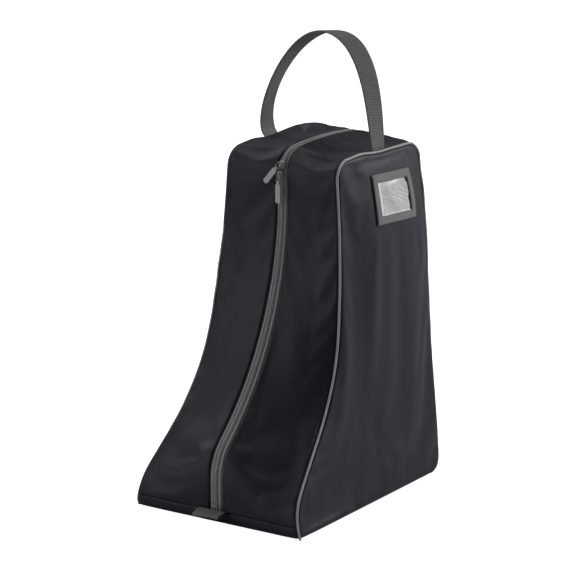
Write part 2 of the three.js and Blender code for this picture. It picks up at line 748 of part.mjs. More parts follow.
// A pull hangs straight down from its slider, turned aside by a swing angle towards -X.
function hangPull(place, standOff, swing, suffix) {
  const pull = new THREE.Group();
  pull.position.set(0, place.y + standOff * place.out[0], place.z + standOff * place.out[1]);
  pull.rotation.y = rad(swing);
  bag.add(pull);
  addTo(pull, `pull_cord_${suffix}`, cordLoop(), webbing());
  addTo(pull, `pull_grip_${suffix}`, pullGrip(), mouldedRubber());
}

const FRONT_SLIDER_HEIGHT = 420.6;
const FRONT_PULL_STAND_OFF = 6.6;
const TOP_SLIDER_TURN = 29;      // degrees round the top corner's arc from where it begins
const TOP_PULL_STAND_OFF = 8;
const TOP_PULL_SWING = 39.6;     // the top pull lies aside, across the zip
// The front slider keeps to the front arc, which runs on past the start of the top corner.
const arcEnd = zipLine.at(zipCorner);
const frontArcCentre = {
  y: arcEnd.y - FRONT_ARC_RADIUS * Math.cos(arcEnd.heading),
  z: arcEnd.z + FRONT_ARC_RADIUS * Math.sin(arcEnd.heading),
};

function onFrontArc(height) {
  const heading = -Math.asin((height - frontArcCentre.z) / FRONT_ARC_RADIUS);
  return {
    y: frontArcCentre.y + FRONT_ARC_RADIUS * Math.cos(heading),
    z: height,
    heading,
    out: [-Math.cos(heading), Math.sin(heading)],
  };
}

const frontSlider = onFrontArc(FRONT_SLIDER_HEIGHT);
const topSlider = zipLine.at(zipCorner + TOP_CORNER_RADIUS * rad(TOP_SLIDER_TURN));
addTo(onZip(frontSlider), 'slider_front', sliderBody(), castMetal());
addTo(onZip(topSlider), 'slider_top', sliderBody().rotateY(Math.PI), castMetal());
hangPull(frontSlider, FRONT_PULL_STAND_OFF, 0, 'front');
hangPull(topSlider, TOP_PULL_STAND_OFF, TOP_PULL_SWING, 'top');

// ---- stops at the two ends of the coil ----
function zipStop(place) {
  const stop = box(-3.2, 3.2, -1.8, -0.8, -1.5, 1.5);
  return stop.rotateX(-place.heading).translate(0, place.y, place.z);
}

add('zip_stop_front', zipStop(zipLine.at(8)), castMetal());
add('zip_stop_rear', zipStop(zipLine.at(zipLine.length - 6)), castMetal());

export default bag;
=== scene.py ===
"""Boot bag: the looks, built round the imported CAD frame.

Shapes are worked out in millimetres in the frame's own axes (+Z up, the zipped front faces -Y) and made in
metres. The nylon panels are draped by cloth simulation between the seam lines that the CAD panels follow.
"""

import json
import math

import bpy
import numpy as np
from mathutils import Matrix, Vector

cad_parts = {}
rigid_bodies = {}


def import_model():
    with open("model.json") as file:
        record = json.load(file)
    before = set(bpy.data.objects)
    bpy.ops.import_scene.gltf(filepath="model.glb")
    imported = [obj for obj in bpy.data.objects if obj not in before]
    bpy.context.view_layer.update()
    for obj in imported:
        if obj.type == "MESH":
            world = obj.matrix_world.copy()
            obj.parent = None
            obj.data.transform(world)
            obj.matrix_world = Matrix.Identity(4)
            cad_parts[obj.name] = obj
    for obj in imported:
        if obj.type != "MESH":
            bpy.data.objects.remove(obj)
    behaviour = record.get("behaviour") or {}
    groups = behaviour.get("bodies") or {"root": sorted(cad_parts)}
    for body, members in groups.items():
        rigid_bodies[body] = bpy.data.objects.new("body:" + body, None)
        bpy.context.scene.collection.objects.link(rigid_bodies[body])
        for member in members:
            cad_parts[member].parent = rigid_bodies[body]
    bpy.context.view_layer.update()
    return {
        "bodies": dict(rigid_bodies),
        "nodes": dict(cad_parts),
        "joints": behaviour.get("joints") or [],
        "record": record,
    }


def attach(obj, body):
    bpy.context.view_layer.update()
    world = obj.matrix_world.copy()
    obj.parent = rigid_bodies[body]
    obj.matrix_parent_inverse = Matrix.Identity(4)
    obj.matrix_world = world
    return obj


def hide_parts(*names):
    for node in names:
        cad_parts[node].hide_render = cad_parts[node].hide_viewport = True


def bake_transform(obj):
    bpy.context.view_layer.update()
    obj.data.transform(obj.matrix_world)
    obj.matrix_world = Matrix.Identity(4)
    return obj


MM = 0.001
MIRROR = np.array([-1.0, 1.0, 1.0])

# ---- driving dimensions, millimetres: the same as the CAD's ----
TOP_HEIGHT = 445.0
BASE_HALF_WIDTH = 128.5
TOP_HALF_WIDTH = 82.5
FRONT_TAPER = 0.0665
FOOT_FLARE = 15.0
FOOT_FLARE_HEIGHT = 150.0
SIDE_BULGE = 10.0
BASE_SEAM_HEIGHT = 16.0
REAR_SEAM_HEIGHT = 395.0
REAR_BULGE = 6.0
ZIP_OPENING = 8.2
TAPE_HALF_WIDTH = 12.0
TAPE_THICKNESS = 0.8
COIL_HALF_WIDTH = 2.9
COIL_PROUD = 0.4
COIL_START = 12.0
WEBBING_WIDTH = 30.0
WEBBING_THICKNESS = 2.0
HANDLE_Y = 85.0
HANDLE_FOOT = 446.6
HANDLE_TOP = 590.0
TAB_WIDTH = 41.0
TAB_REACH = 18.0
TAB_X = -4.0
TAB_SLOPE = 7.0
WINDOW = {"y": 97.0, "z": 383.0, "width": 89.0, "height": 64.0, "border": 11.0, "tilt": -3.0}

# ---- fabric ----
FABRIC = 0.7                 # thickness of one nylon panel
SEAM_INSET = 2.9             # from the middle of the piping to the fabric's edge, where the cord stands proud
SUNK_INSET = 1.3             # the same where the fabric closes over the cord
SINK = 2.4                   # how far the cord drops between the panels there
ROLL_REACH = 2.4             # the fabric turns down into a seam over this width
ROLL_DEPTH = 2.7
CORD_RADIUS = 1.5
FOLD_DEPTH = 2.4             # the fold beside the zip
FOLD_REACH = 2.0
FOOT_OPENING = 10.0          # half the width between the fabric folds beside the zip at the foot
CROWN_OPENING = 5.0          # the same where they close in over the top
REAR_SWELL = 4.5             # how far the filled bag pushes its rear edges out, most at three quarters up
EDGE_ROLL = 0.93             # a sewn edge turns in over this share of its inset
UNDER_HEIGHT = 9.0           # below this a side panel rolls under, by the reach, to the base seam
UNDER_REACH = 6.5
ALLOWANCE_RADIUS = 2.3       # the rolled edges behind a piped seam
CLOTH_STEP = 5.0             # grid spacing of the simulated cloth
GUSSET_NOMINAL = 100.0       # widths at which each cloth's columns are spaced
SIDE_NOMINAL = 290.0
REAR_NOMINAL = 200.0
CLOTH_FRAMES = 20
CLOTH_CAP = 7.0              # the simulation moves no point further than this
CLOTH = {
    "quality": 5, "mass": 0.15, "tension_stiffness": 25, "compression_stiffness": 25, "shear_stiffness": 12,
    "bending_stiffness": 4, "air_damping": 3, "pin_stiffness": 1.0, "use_pressure": True,
    "uniform_pressure_force": 1.0,
}
SIDES = ("right", "left")


# ---- seam lines in the y-z plane ----
class SeamLine:
    """A pen that starts at (y, z), leaning back from upright by a heading, and makes runs and round turns."""

    def __init__(self, y, z, heading=0.0):
        self.starts = [0.0]
        self.places = [(y, z, math.radians(heading))]
        self.curvatures = []

    def run(self, length):
        return self._add(length, 0.0)

    def turn(self, radius, degrees):
        return self._add(radius * math.radians(abs(degrees)), math.copysign(1 / radius, degrees))

    def _add(self, length, curvature):
        self.places.append(self._advance(*self.places[-1], curvature, length))
        self.starts.append(self.starts[-1] + length)
        self.curvatures.append(curvature)
        return self

    @staticmethod
    def _advance(y, z, heading, curvature, s):
        half_turn = curvature * s / 2
        chord = s * np.sinc(half_turn / np.pi)
        return (
            y + chord * np.sin(heading + half_turn),
            z + chord * np.cos(heading + half_turn),
            heading + 2 * half_turn,
        )

    @property
    def length(self):
        return self.starts[-1]

    def at(self, s):
        """(y, z, heading) at distances s along the line."""
        s = np.asarray(s, float)
        index = np.clip(np.searchsorted(self.starts, s, "right") - 1, 0, len(self.curvatures) - 1)
        places = np.array(self.places)[index]
        curvature = np.array(self.curvatures)[index]
        from_start = s - np.array(self.starts)[index]
        return self._advance(places[..., 0], places[..., 1], places[..., 2], curvature, from_start)

    def reach(self, height, start, end):
        """The distances between start and end at which the line reaches these heights."""
        s = np.linspace(start, end, 1500)
        z = self.at(s)[1]
        if z[0] > z[-1]:
            s, z = s[::-1], z[::-1]
        return np.interp(height, z, s)


ZIP_LINE = (
    SeamLine(-167.6, BASE_SEAM_HEIGHT)
    .run(40.2)           # front wall above the base seam
    .turn(65, 49)        # toe
    .turn(375.4, -53)    # instep and shaft
    .turn(36, 90)        # front top corner
    .turn(650, 11.7)     # crown of the top
    .turn(27, 82.3)      # rear top corner
    .run(27)             # down to the rear cross seam
)
ZIP_CORNER, ZIP_CROWN, ZIP_REAR_CORNER, ZIP_DROP = ZIP_LINE.starts[3:7]

PIPING_LINE = (
    SeamLine(-165.1, 0.0, -12.2)
    .turn(60, 56.2)      # toe
    .run(77.2)
    .turn(238, -33)      # instep
    .turn(891, -11)      # shaft
    .run(22.2)
    .turn(24, 92)        # front top corner
    .run(144.1)          # top edge
    .turn(22, 88.5)      # rear top corner
    .run(396)            # rear edge
    .turn(22, 88.5)      # rear bottom corner
)
PIPING_CORNER, PIPING_TOP, PIPING_REAR_CORNER, PIPING_REAR, PIPING_HEEL = PIPING_LINE.starts[5:10]


def lerp(first, last, share):
    return first + (last - first) * share


def smooth(value, low, high):
    """0 below low, 1 above high, and a smooth rise between; low may be the larger."""
    t = np.clip((value - low) / (high - low), 0, 1)
    return t * t * (3 - 2 * t)


def front_seam(height):
    """Distances along the piping line at which its front reaches these heights."""
    return PIPING_LINE.reach(height, 0, PIPING_CORNER)


def rear_seam(height):
    """Distances along the piping line at which its rear edge reaches these heights."""
    return PIPING_LINE.reach(height, PIPING_REAR, PIPING_HEEL)


# ---- half width of the bag ----
def front_half_width(z):
    flare = FOOT_FLARE * np.maximum(0, 1 - z / FOOT_FLARE_HEIGHT) ** 1.5
    return TOP_HALF_WIDTH + FRONT_TAPER * np.maximum(0, TOP_HEIGHT - z) + flare


def rear_half_width(z):
    swell = 1.5 + REAR_SWELL * np.exp(-(((z - 345) / 75) ** 2))
    straight = lerp(BASE_HALF_WIDTH, TOP_HALF_WIDTH, np.clip(z / TOP_HEIGHT, 0, 1))
    return straight + swell * np.clip(z / 60, 0, 1)


def front_seam_y(z):
    highest = float(PIPING_LINE.at(PIPING_CORNER)[1])
    return PIPING_LINE.at(front_seam(np.clip(z, 0, highest)))[0]


def rear_seam_y(z):
    y, top, _ = PIPING_LINE.at(PIPING_REAR)
    return y - (top - z) * math.tan(math.radians(0.5))


def side_x(y, z):
    """Outer face of the right side panel."""
    z = np.asarray(z, float)
    front, rear = front_seam_y(z), rear_seam_y(z)
    along = np.clip((y - front) / (rear - front), 0, 1)
    height = np.clip(z / TOP_HEIGHT, 0, 1)
    bow = (1 - (2 * along - 1) ** 4) * (1 - (2 * height - 1) ** 4)
    return lerp(front_half_width(z), rear_half_width(z), along) + SIDE_BULGE * bow


# ---- grids of points ----
def steps(length, step):
    """Distances from 0 to length, about step apart, with close ones at each end for the turn into a seam."""
    lip = np.array([0.0, 0.7, 1.5, 2.6])
    middle = np.linspace(lip[-1], length - lip[-1], max(3, round(length / step)))
    return np.concatenate([lip[:-1], middle, length - lip[-2::-1]])


def shares(length):
    """Shares of a nominal length, from 0 to 1, spaced as cloth with soft ends."""
    return steps(length, CLOTH_STEP)[None, :] / length


def roll(distance, depth=ROLL_DEPTH, reach=ROLL_REACH):
    """How far the fabric has turned down at a distance from its sewn edge."""
    return depth * (1 - np.clip(distance / reach, 0, 1)) ** 2


def grid_normals(grid):
    """Unit normals of a grid of points, on the side its rows and columns turn towards."""
    along = np.gradient(grid, axis=0)
    across = np.gradient(grid, axis=1)
    normals = np.cross(across, along)
    return normals / np.maximum(np.linalg.norm(normals, axis=-1, keepdims=True), 1e-9)


def grid_lengths(grid, axis):
    """Distance along the grid's lines from their first point."""
    gaps = np.linalg.norm(np.diff(grid, axis=axis), axis=-1)
    start = np.zeros_like(np.take(gaps, [0], axis=axis))
    return np.concatenate([start, np.cumsum(gaps, axis=axis)], axis=axis)


def path_lengths(path):
    """Distance along a path of points from its first one."""
    return np.concatenate([[0], np.cumsum(np.linalg.norm(np.diff(path, axis=0), axis=1))])


def sample(values, distances, at):
    """Values known at distances along a path, read off at other distances."""
    return np.stack([np.interp(at, distances, values[:, k]) for k in range(3)], axis=-1)


def inside(x, place, depth):
    """Points at x, sunk this far below the surface at a seam line's place (y, z, heading)."""
    y, z, heading = place
    return np.stack(np.broadcast_arrays(x, y + depth * np.cos(heading), z - depth * np.sin(heading)), axis=-1)


def circle(sides):
    return np.linspace(0, 2 * math.pi, sides, endpoint=False)


def grid_faces(rows, columns, wrap=False, first=0):
    """Quads of a grid whose points are listed row by row."""
    index = first + np.arange(rows * columns).reshape(rows, columns)
    if wrap:
        index = np.concatenate([index, index[:, :1]], axis=1)
    quads = np.stack([index[:-1, :-1], index[:-1, 1:], index[1:, 1:], index[1:, :-1]], axis=-1)
    return quads.reshape(-1, 4)


def capped_faces(copies, rings, sides):
    """The faces of several capped tubes whose points are listed one tube after another."""
    count = rings * sides
    faces = grid_faces(rings, sides, wrap=True).tolist()
    faces += [list(range(sides))[::-1], list(range(count - sides, count))]
    return [[corner + copy * count for corner in face] for copy in range(copies) for face in faces]


def shell(outer, inner):
    """A closed solid between two matching grids: its points, faces and a grid coordinate for each point."""
    rows, columns, _ = outer.shape
    count = rows * columns
    front = grid_faces(rows, columns)
    back = grid_faces(rows, columns, first=count)[:, ::-1]
    index = np.arange(count).reshape(rows, columns)
    loop = np.concatenate([index[0, :-1], index[:-1, -1], index[-1, :0:-1], index[:0:-1, 0]])
    after = np.roll(loop, -1)
    rim = np.stack([after, loop, loop + count, after + count], axis=-1)
    points = np.concatenate([outer.reshape(-1, 3), inner.reshape(-1, 3)])
    uv = np.stack([grid_lengths(outer, 1), grid_lengths(outer, 0)], axis=-1).reshape(-1, 2)
    return points, np.concatenate([front, back, rim]), np.concatenate([uv, uv])


def tube(rings):
    """A closed solid through rings of points, shaped (rings, points, 3)."""
    count, sides, _ = rings.shape
    points = np.concatenate([rings.reshape(-1, 3), rings[:1].mean(1), rings[-1:].mean(1)])
    faces = grid_faces(count, sides, wrap=True).tolist()
    first, last = count * sides, count * sides + 1
    for i in range(sides):
        j = (i + 1) % sides
        faces.append([first, j, i])
        faces.append([last, (count - 1) * sides + i, (count - 1) * sides + j])
    along = grid_lengths(rings, 0).mean(1)
    around = np.linspace(0, 1, sides, endpoint=False) * 2 * math.pi * CORD_RADIUS
    uv = np.stack(np.broadcast_arrays(around[None, :], along[:, None]), axis=-1).reshape(-1, 2)
    return points, faces, np.concatenate([uv, uv[:1], uv[-1:]])


def on_side(side, points, faces):
    """A solid made on the right side as it is, or mirrored to the left."""
    if side == "right":
        return points, faces
    return points * MIRROR, [list(face)[::-1] for face in faces]


def joined(solids):
    """Several (points, faces) as one."""
    starts = np.cumsum([0] + [len(points) for points, _ in solids])
    faces = [[corner + start for corner in face] for start, (_, some) in zip(starts, solids) for face in some]
    return np.concatenate([points for points, _ in solids]), faces


# ---- Blender objects ----
def make_mesh(name, points, faces, uv=None):
    """A smooth-shaded mesh in metres from points in millimetres, with UVs in metres."""
    mesh = bpy.data.meshes.new(name)
    mesh.from_pydata((np.asarray(points) * MM).tolist(), [], [list(map(int, face)) for face in faces])
    if uv is not None:
        layer = mesh.uv_layers.new(name="weave")
        corners = np.zeros(len(mesh.loops), int)
        mesh.loops.foreach_get("vertex_index", corners)
        layer.data.foreach_set("uv", (np.asarray(uv)[corners] * MM).astype(np.float32).ravel())
    mesh.shade_smooth()
    return mesh


def piece(name, points, faces, material, body, slot, uv=None, replaces=(), subdivide=0, ride=True):
    """A finished piece of the bag, on its CAD body."""
    obj = bpy.data.objects.new(name, make_mesh(name, points, faces, uv))
    bpy.context.scene.collection.objects.link(obj)
    obj.data.materials.append(material)
    if subdivide:
        modifier = obj.modifiers.new("smooth", "SUBSURF")
        modifier.levels = modifier.render_levels = subdivide
    if ride:
        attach(obj, body)
    if replaces:
        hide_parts(*replaces)
    return obj


# ---- cloth ----
def simulate(grid, hold, growth):
    """The grid as cloth that is a little too big for its seams. Points with hold 1 are sewn down."""
    rows, columns, _ = grid.shape
    mesh = make_mesh("cloth", grid.reshape(-1, 3), grid_faces(rows, columns))
    obj = bpy.data.objects.new("cloth", mesh)
    scene = bpy.context.scene
    scene.collection.objects.link(obj)
    group = obj.vertex_groups.new(name="hold")
    for index, weight in enumerate(np.clip(hold, 0, 1).ravel().tolist()):
        group.add([index], weight, "REPLACE")
    cloth = obj.modifiers.new("cloth", "CLOTH")
    for name, value in CLOTH.items():
        setattr(cloth.settings, name, value)
    cloth.settings.vertex_group_mass = "hold"
    cloth.settings.shrink_min = cloth.settings.shrink_max = -growth
    cloth.settings.effector_weights.gravity = 0.3
    cloth.collision_settings.use_collision = False
    cloth.point_cache.frame_start = 1
    cloth.point_cache.frame_end = CLOTH_FRAMES
    for frame in range(1, CLOTH_FRAMES + 1):
        scene.frame_set(frame)
    shaped = obj.evaluated_get(bpy.context.evaluated_depsgraph_get())
    points = np.zeros(rows * columns * 3)
    shaped.data.vertices.foreach_get("co", points)
    bpy.data.objects.remove(obj)
    bpy.data.meshes.remove(mesh)
    scene.frame_set(1)
    return points.reshape(rows, columns, 3) / MM


def wave(along, length, seed):
    """A wandering ripple of about this wavelength, between -1 and 1."""
    turn = 2 * math.pi * along / length
    drift = 1.7 * np.sin(turn / 4.3 + 2.1 * seed) + 1.1 * np.sin(turn / 9.7 + 5.3 * seed)
    swell = 0.62 + 0.38 * np.sin(turn / 6.1 + 3.7 * seed)
    return swell * np.sin(turn + drift + seed)


def edge_distances(grid):
    """Distances to the four sewn edges, (first column, last column, first row, last row)."""
    across = grid_lengths(grid, 1)
    along = grid_lengths(grid, 0)
    return across, across[:, -1:] - across, along, along[-1:] - along


def puckers(grid, amplitudes, seed):
    """Small gathers that run out from each sewn edge, as heights above the surface."""
    across, along = grid_lengths(grid, 1), grid_lengths(grid, 0)
    height = np.zeros(grid.shape[:2])
    for number, (distance, amplitude) in enumerate(zip(edge_distances(grid), amplitudes)):
        phase = along if number < 2 else across
        fine = wave(phase, 13.0, seed + number) * np.exp(-distance / 9.0)
        broad = wave(phase, 41.0, seed + number + 0.5) * np.exp(-distance / 26.0)
        height += amplitude * (0.45 * fine + broad) * np.clip(distance / 4.0, 0, 1)
    return height


def ridges(grid, folds):
    """Heights of long soft folds, each (first point, last point, half width, height)."""
    height = np.zeros(grid.shape[:2])
    for start, end, width, rise in folds:
        start, end = np.array(start, float), np.array(end, float)
        span = end - start
        share = np.clip(((grid - start) @ span) / (span @ span), 0, 1)
        away = np.linalg.norm(grid - start - share[..., None] * span, axis=-1)
        fade = 0.35 + 0.65 * np.sin(math.pi * np.clip(share, 0.06, 0.94))
        height += rise * np.exp(-((away / width) ** 2)) * fade
    return height


def drape(grid, seed, folds, gathers, stiff=0.0, growth=0.003):
    """A panel's outer surface: folds set in, then cloth between its seams, then gathers along each seam."""
    distance = np.minimum.reduce(edge_distances(grid))
    free = np.clip((distance - ROLL_REACH) / 6.0, 0, 1) * (1 - stiff)
    normals = grid_normals(grid)
    x, y, z = grid[..., 0], grid[..., 1], grid[..., 2]
    uneven = 0.6 * wave(z + 0.4 * y, 83.0, seed) * wave(y - 0.5 * x, 67.0, seed + 2)
    start = grid + normals * ((uneven + ridges(grid, folds)) * free)[..., None]
    hold = np.where(free > 0, 0.05 + 0.5 * (1 - free) ** 2, 1.0)
    shaped = simulate(start, hold, growth)
    moved = shaped - grid
    size = np.linalg.norm(moved, axis=-1, keepdims=True)
    moved = moved * np.minimum(1, CLOTH_CAP / np.maximum(size, 1e-6)) * (free > 0)[..., None]
    return grid + moved + normals * (puckers(grid, gathers, seed) * free)[..., None]


def panel(name, outer, material, subdivide=1):
    """A nylon panel as a closed thin solid that stands for the CAD panel of the same name."""
    points, faces, uv = shell(outer, outer - grid_normals(outer) * FABRIC)
    return piece(name + "_cloth", points, faces, material, "bag", "nylon", uv, [name], subdivide)


# ---- how the seams lie ----
def sunk(s, side):
    """How far the fabric has closed over the piping, from 0 to 1, at distances along the piping line."""
    z = PIPING_LINE.at(s)[1]
    front = s < PIPING_CORNER
    rear = s > PIPING_REAR
    behind = smooth(z, 260, 90)
    if side == "right":
        return np.where(rear, behind, 0.0)
    ahead = np.maximum(smooth(z, 300, 360), smooth(z, 130, 60)) * 0.9 + 0.1
    return np.where(front, ahead, np.where(rear, np.maximum(behind, smooth(z, 330, 400)), 1.0))


def seam_inset(s, side):
    return lerp(SEAM_INSET, SUNK_INSET, sunk(s, side))


def settle(grid, side="right"):
    """What the load and the handle do to the seams: the top seams sway, the rear left top corner stands up,
    and the front corners tuck back a little at the floor."""
    x, y, z = grid[..., 0], grid[..., 1], grid[..., 2]
    at_top = np.exp(-(((z - TOP_HEIGHT) / 16) ** 2))
    near_seam = np.exp(-(((np.abs(x) - TOP_HALF_WIDTH) / 14) ** 2))
    sway = 2.4 * np.exp(-(((y - 38) / 22) ** 2)) - 0.8 * np.exp(-(((y - HANDLE_Y) / 18) ** 2))
    stands = 5.0 if side == "left" else 0.0
    ridge = np.clip(1 - np.hypot(y - 148, 6.0) / np.where(y < 148, 80, 42), 0, 1)
    peak = stands * ridge * smooth(np.abs(x), 25, 66) * smooth(z, 395, 435)
    corner = np.clip(1 - z / 17.0, 0, 1) ** 1.6 * smooth(np.abs(x), 96, 122) * smooth(y, -120, -158)
    settled = grid.copy()
    settled[..., 2] += sway * at_top * near_seam + peak
    settled[..., 1] += 0.8 * corner
    settled[..., 0] -= np.sign(x) * corner
    return settled


# ---- gusset ----
def gusset_point(zip_at, piping_at, x, depth):
    """Points of the gusset at x, sunk below its outer face."""
    zip_y, zip_z, zip_heading = ZIP_LINE.at(zip_at)
    y, z, heading = PIPING_LINE.at(piping_at)
    across = (x / side_x(y, z)) ** 2
    out_y = lerp(-np.cos(zip_heading), -np.cos(heading), across)
    out_z = lerp(np.sin(zip_heading), np.sin(heading), across)
    sunk_by = depth / np.hypot(out_y, out_z)
    y = lerp(zip_y, y, across) - sunk_by * out_y
    z = lerp(zip_z, z, across) - sunk_by * out_z
    return np.stack([x + 0 * across, y, z], axis=-1)


def gusset_stations(step):
    """Matching distances along the zip and piping lines, from the base seam to the rear cross seam."""
    zip_top = float(ZIP_LINE.at(ZIP_CORNER)[1])
    piping_top = float(PIPING_LINE.at(PIPING_CORNER)[1])
    share = steps(zip_top - BASE_SEAM_HEIGHT, step)[:-3] / (zip_top - BASE_SEAM_HEIGHT)
    zip_at = [ZIP_LINE.reach(lerp(BASE_SEAM_HEIGHT, zip_top, share), 0, ZIP_CORNER)]
    piping_at = [front_seam(lerp(BASE_SEAM_HEIGHT, piping_top, share))]
    marks = [
        (ZIP_CORNER, ZIP_CROWN, PIPING_CORNER, PIPING_TOP),
        (ZIP_CROWN, ZIP_REAR_CORNER, PIPING_TOP, PIPING_REAR_CORNER),
        (ZIP_REAR_CORNER, ZIP_DROP, PIPING_REAR_CORNER, PIPING_REAR),
    ]
    for zip_from, zip_to, piping_from, piping_to in marks:
        share = np.linspace(0, 1, round((zip_to - zip_from) / step * 1.3), endpoint=False)
        zip_at.append(lerp(zip_from, zip_to, share))
        piping_at.append(lerp(piping_from, piping_to, share))
    share = steps(ZIP_LINE.length - ZIP_DROP, step)[4:] / (ZIP_LINE.length - ZIP_DROP)
    zip_at.append(lerp(ZIP_DROP, ZIP_LINE.length, share))
    piping_at.append(lerp(PIPING_REAR, float(rear_seam(REAR_SEAM_HEIGHT)), share))
    return np.concatenate(zip_at)[:, None], np.concatenate(piping_at)[:, None]


def zip_opening(zip_at):
    """Half the width between the fabric folds: they gape at the foot and close in over the top."""
    gape = (FOOT_OPENING - ZIP_OPENING) * smooth(ZIP_LINE.at(zip_at)[1], 380, 200) * (zip_at < ZIP_CORNER)
    close = (CROWN_OPENING - ZIP_OPENING) * smooth(zip_at, ZIP_CORNER, ZIP_CROWN + 20)
    return ZIP_OPENING + gape + close


def gusset_grid(side):
    """The right gusset, with its outer seam shaped as it is on the given side."""
    zip_at, piping_at = gusset_stations(CLOTH_STEP)
    y, z, _ = PIPING_LINE.at(piping_at)
    opening = zip_opening(zip_at)
    width = side_x(y, z) - seam_inset(piping_at, side) - opening
    share = shares(GUSSET_NOMINAL)
    lip = np.minimum(share, 1 - share) * GUSSET_NOMINAL
    from_zip = np.where(lip < 3, np.where(share > 0.5, width - lip, lip), share * width)
    to_base = np.where(zip_at < ZIP_CORNER, ZIP_LINE.at(zip_at)[1] - BASE_SEAM_HEIGHT, 1e3)
    to_rear = ZIP_LINE.length - zip_at
    seam = roll(width - from_zip, EDGE_ROLL * seam_inset(piping_at, side))
    depth = roll(from_zip, FOLD_DEPTH, FOLD_REACH) + seam + roll(to_base) + roll(to_rear)
    return settle(gusset_point(zip_at, piping_at, opening + from_zip, np.minimum(depth, ROLL_DEPTH)), side)


GUSSET_FOLDS = {
    "right": [
        ((20, -8, 432), (72, 0, 424), 12, 1.4),
        ((30, -22, 405), (60, -20, 330), 16, -1.6),
        ((70, -28, 360), (84, -45, 240), 10, -2.6),
        ((25, -52, 250), (90, -80, 150), 15, 1.6),
        ((50, -150, 60), (95, -135, 75), 8, 1.6),
        ((60, -160, 22), (66, -158, 60), 7, -2.0),
        ((92, -158, 22), (84, -140, 72), 6, 1.8),
        ((30, 20, 450), (60, 110, 446), 15, 1.2),
        ((20, 150, 450), (60, 152, 446), 16, 2.6),
        ((66, 120, 448), (76, 160, 438), 9, 2.6),
    ],
    "left": [
        ((-15, -14, 424), (-70, 4, 428), 9, 2.6),
        ((-78, -4, 432), (-45, 25, 446), 8, 1.8),
        ((-28, -22, 400), (-70, -28, 345), 16, -1.6),
        ((-20, -58, 265), (-95, -40, 295), 10, 2.4),
        ((-30, -80, 220), (-90, -60, 250), 16, -1.6),
        ((-40, -135, 85), (-100, -90, 150), 14, 1.1),
        ((-70, -158, 24), (-96, -130, 75), 9, 1.8),
        ((-104, -156, 22), (-104, -140, 60), 6, -1.6),
        ((-48, 100, 452), (-60, 156, 446), 26, 5.0),
        ((-20, 150, 450), (-74, 156, 444), 14, 3.0),
        ((-45, 60, 450), (-25, 20, 448), 16, -1.0),
    ],
}


def add_gussets(material):
    right = drape(gusset_grid("right"), 1.0, GUSSET_FOLDS["right"], (0.35, 0.8, 0.9, 0.5))
    panel("gusset_right", right, material)
    # Mirroring turns a grid inside out, so the left one's columns are listed the other way round.
    left = (gusset_grid("left") * MIRROR)[:, ::-1]
    panel("gusset_left", drape(left, 2.0, GUSSET_FOLDS["left"], (0.8, 0.35, 0.9, 0.5)), material)


# ---- side panels ----
def side_rows(step):
    """Matching distances along the front seam and the rear seam, from the floor to the top edge."""
    corner_height, rear_height, heel_height = (
        float(PIPING_LINE.at(mark)[1]) for mark in (PIPING_CORNER, PIPING_REAR, PIPING_HEEL))
    low = steps(heel_height, step / 1.6)[:-4]
    share = np.linspace(0, 1, round((corner_height - heel_height) / step), endpoint=False)
    top = np.linspace(0, 1, 9)
    front = [
        front_seam(low),
        front_seam(lerp(heel_height, corner_height, share)),
        lerp(PIPING_CORNER, PIPING_TOP, top),
    ]
    rear = [
        lerp(PIPING_LINE.length, PIPING_HEEL, low / heel_height),
        rear_seam(lerp(heel_height, rear_height, share)),
        lerp(PIPING_REAR, PIPING_REAR_CORNER, top),
    ]
    return np.concatenate(front)[:, None], np.concatenate(rear)[:, None]


def side_grid(side):
    """The right side panel, with its seams shaped as they are on the given side."""
    front, rear = side_rows(CLOTH_STEP)
    front_inset, rear_inset = seam_inset(front, side), seam_inset(rear, side)
    front_edge = inside(0.0, PIPING_LINE.at(front), front_inset)
    rear_edge = inside(0.0, PIPING_LINE.at(rear), rear_inset)
    share = shares(SIDE_NOMINAL)
    sheet = lerp(front_edge, rear_edge, share[..., None])
    y, z = sheet[..., 1], np.maximum(0, sheet[..., 2])
    to_edge = np.minimum(share, 1 - share) * np.linalg.norm(rear_edge - front_edge, axis=-1)
    upper = np.linspace(0, 1, len(front))[:, None] > 0.5
    to_top = np.where(upper, sheet[-1, :, 2] - z, 1e3)
    inset = np.where(share < 0.5, front_inset, rear_inset)
    x = side_x(y, z) - np.minimum(roll(to_edge, EDGE_ROLL * inset) + roll(to_top), ROLL_DEPTH)
    # The foot of the panel rolls under to the base seam.
    under = np.clip(1 - z / UNDER_HEIGHT, 0, 1)
    x -= UNDER_REACH * (1 - np.sqrt(np.maximum(0, 1 - under ** 2)))
    return settle(np.stack([x, y, z + 0.4 * under], axis=-1), side)


SIDE_FOLDS = [
    ((100, 0, 400), (118, -15, 300), 26, -2.2),
    ((110, 60, 330), (122, 20, 180), 34, 2.2),
    ((112, 120, 300), (126, 70, 160), 26, -2.0),
    ((120, -60, 90), (130, 60, 62), 18, 2.2),
    ((128, 40, 40), (130, 110, 66), 13, 1.8),
    ((126, -70, 40), (124, -120, 60), 12, -1.8),
    ((126, -140, 24), (118, -128, 62), 6, 2.0),
    ((128, -118, 18), (126, -104, 48), 6, -1.6),
    ((90, 146, 434), (98, 148, 392), 4, 2.2),
    ((88, 138, 436), (96, 139, 390), 4, -1.6),
    ((122, 144, 180), (128, 118, 60), 9, 2.0),
    ((118, 152, 262), (108, 138, 330), 7, -1.8),
    ((128, 30, 14), (126, 44, 50), 7, 1.5),
    ((128, 90, 12), (127, 80, 42), 6, -1.5),
]


def window_zone(grid):
    """1 on the cloth under the card window, falling to 0 round it."""
    across = np.abs(grid[..., 1] - WINDOW["y"]) - WINDOW["width"] / 2
    up = np.abs(grid[..., 2] - WINDOW["z"]) - WINDOW["height"] / 2
    return np.clip(1 - np.maximum(across, up) / 32.0, 0, 1)


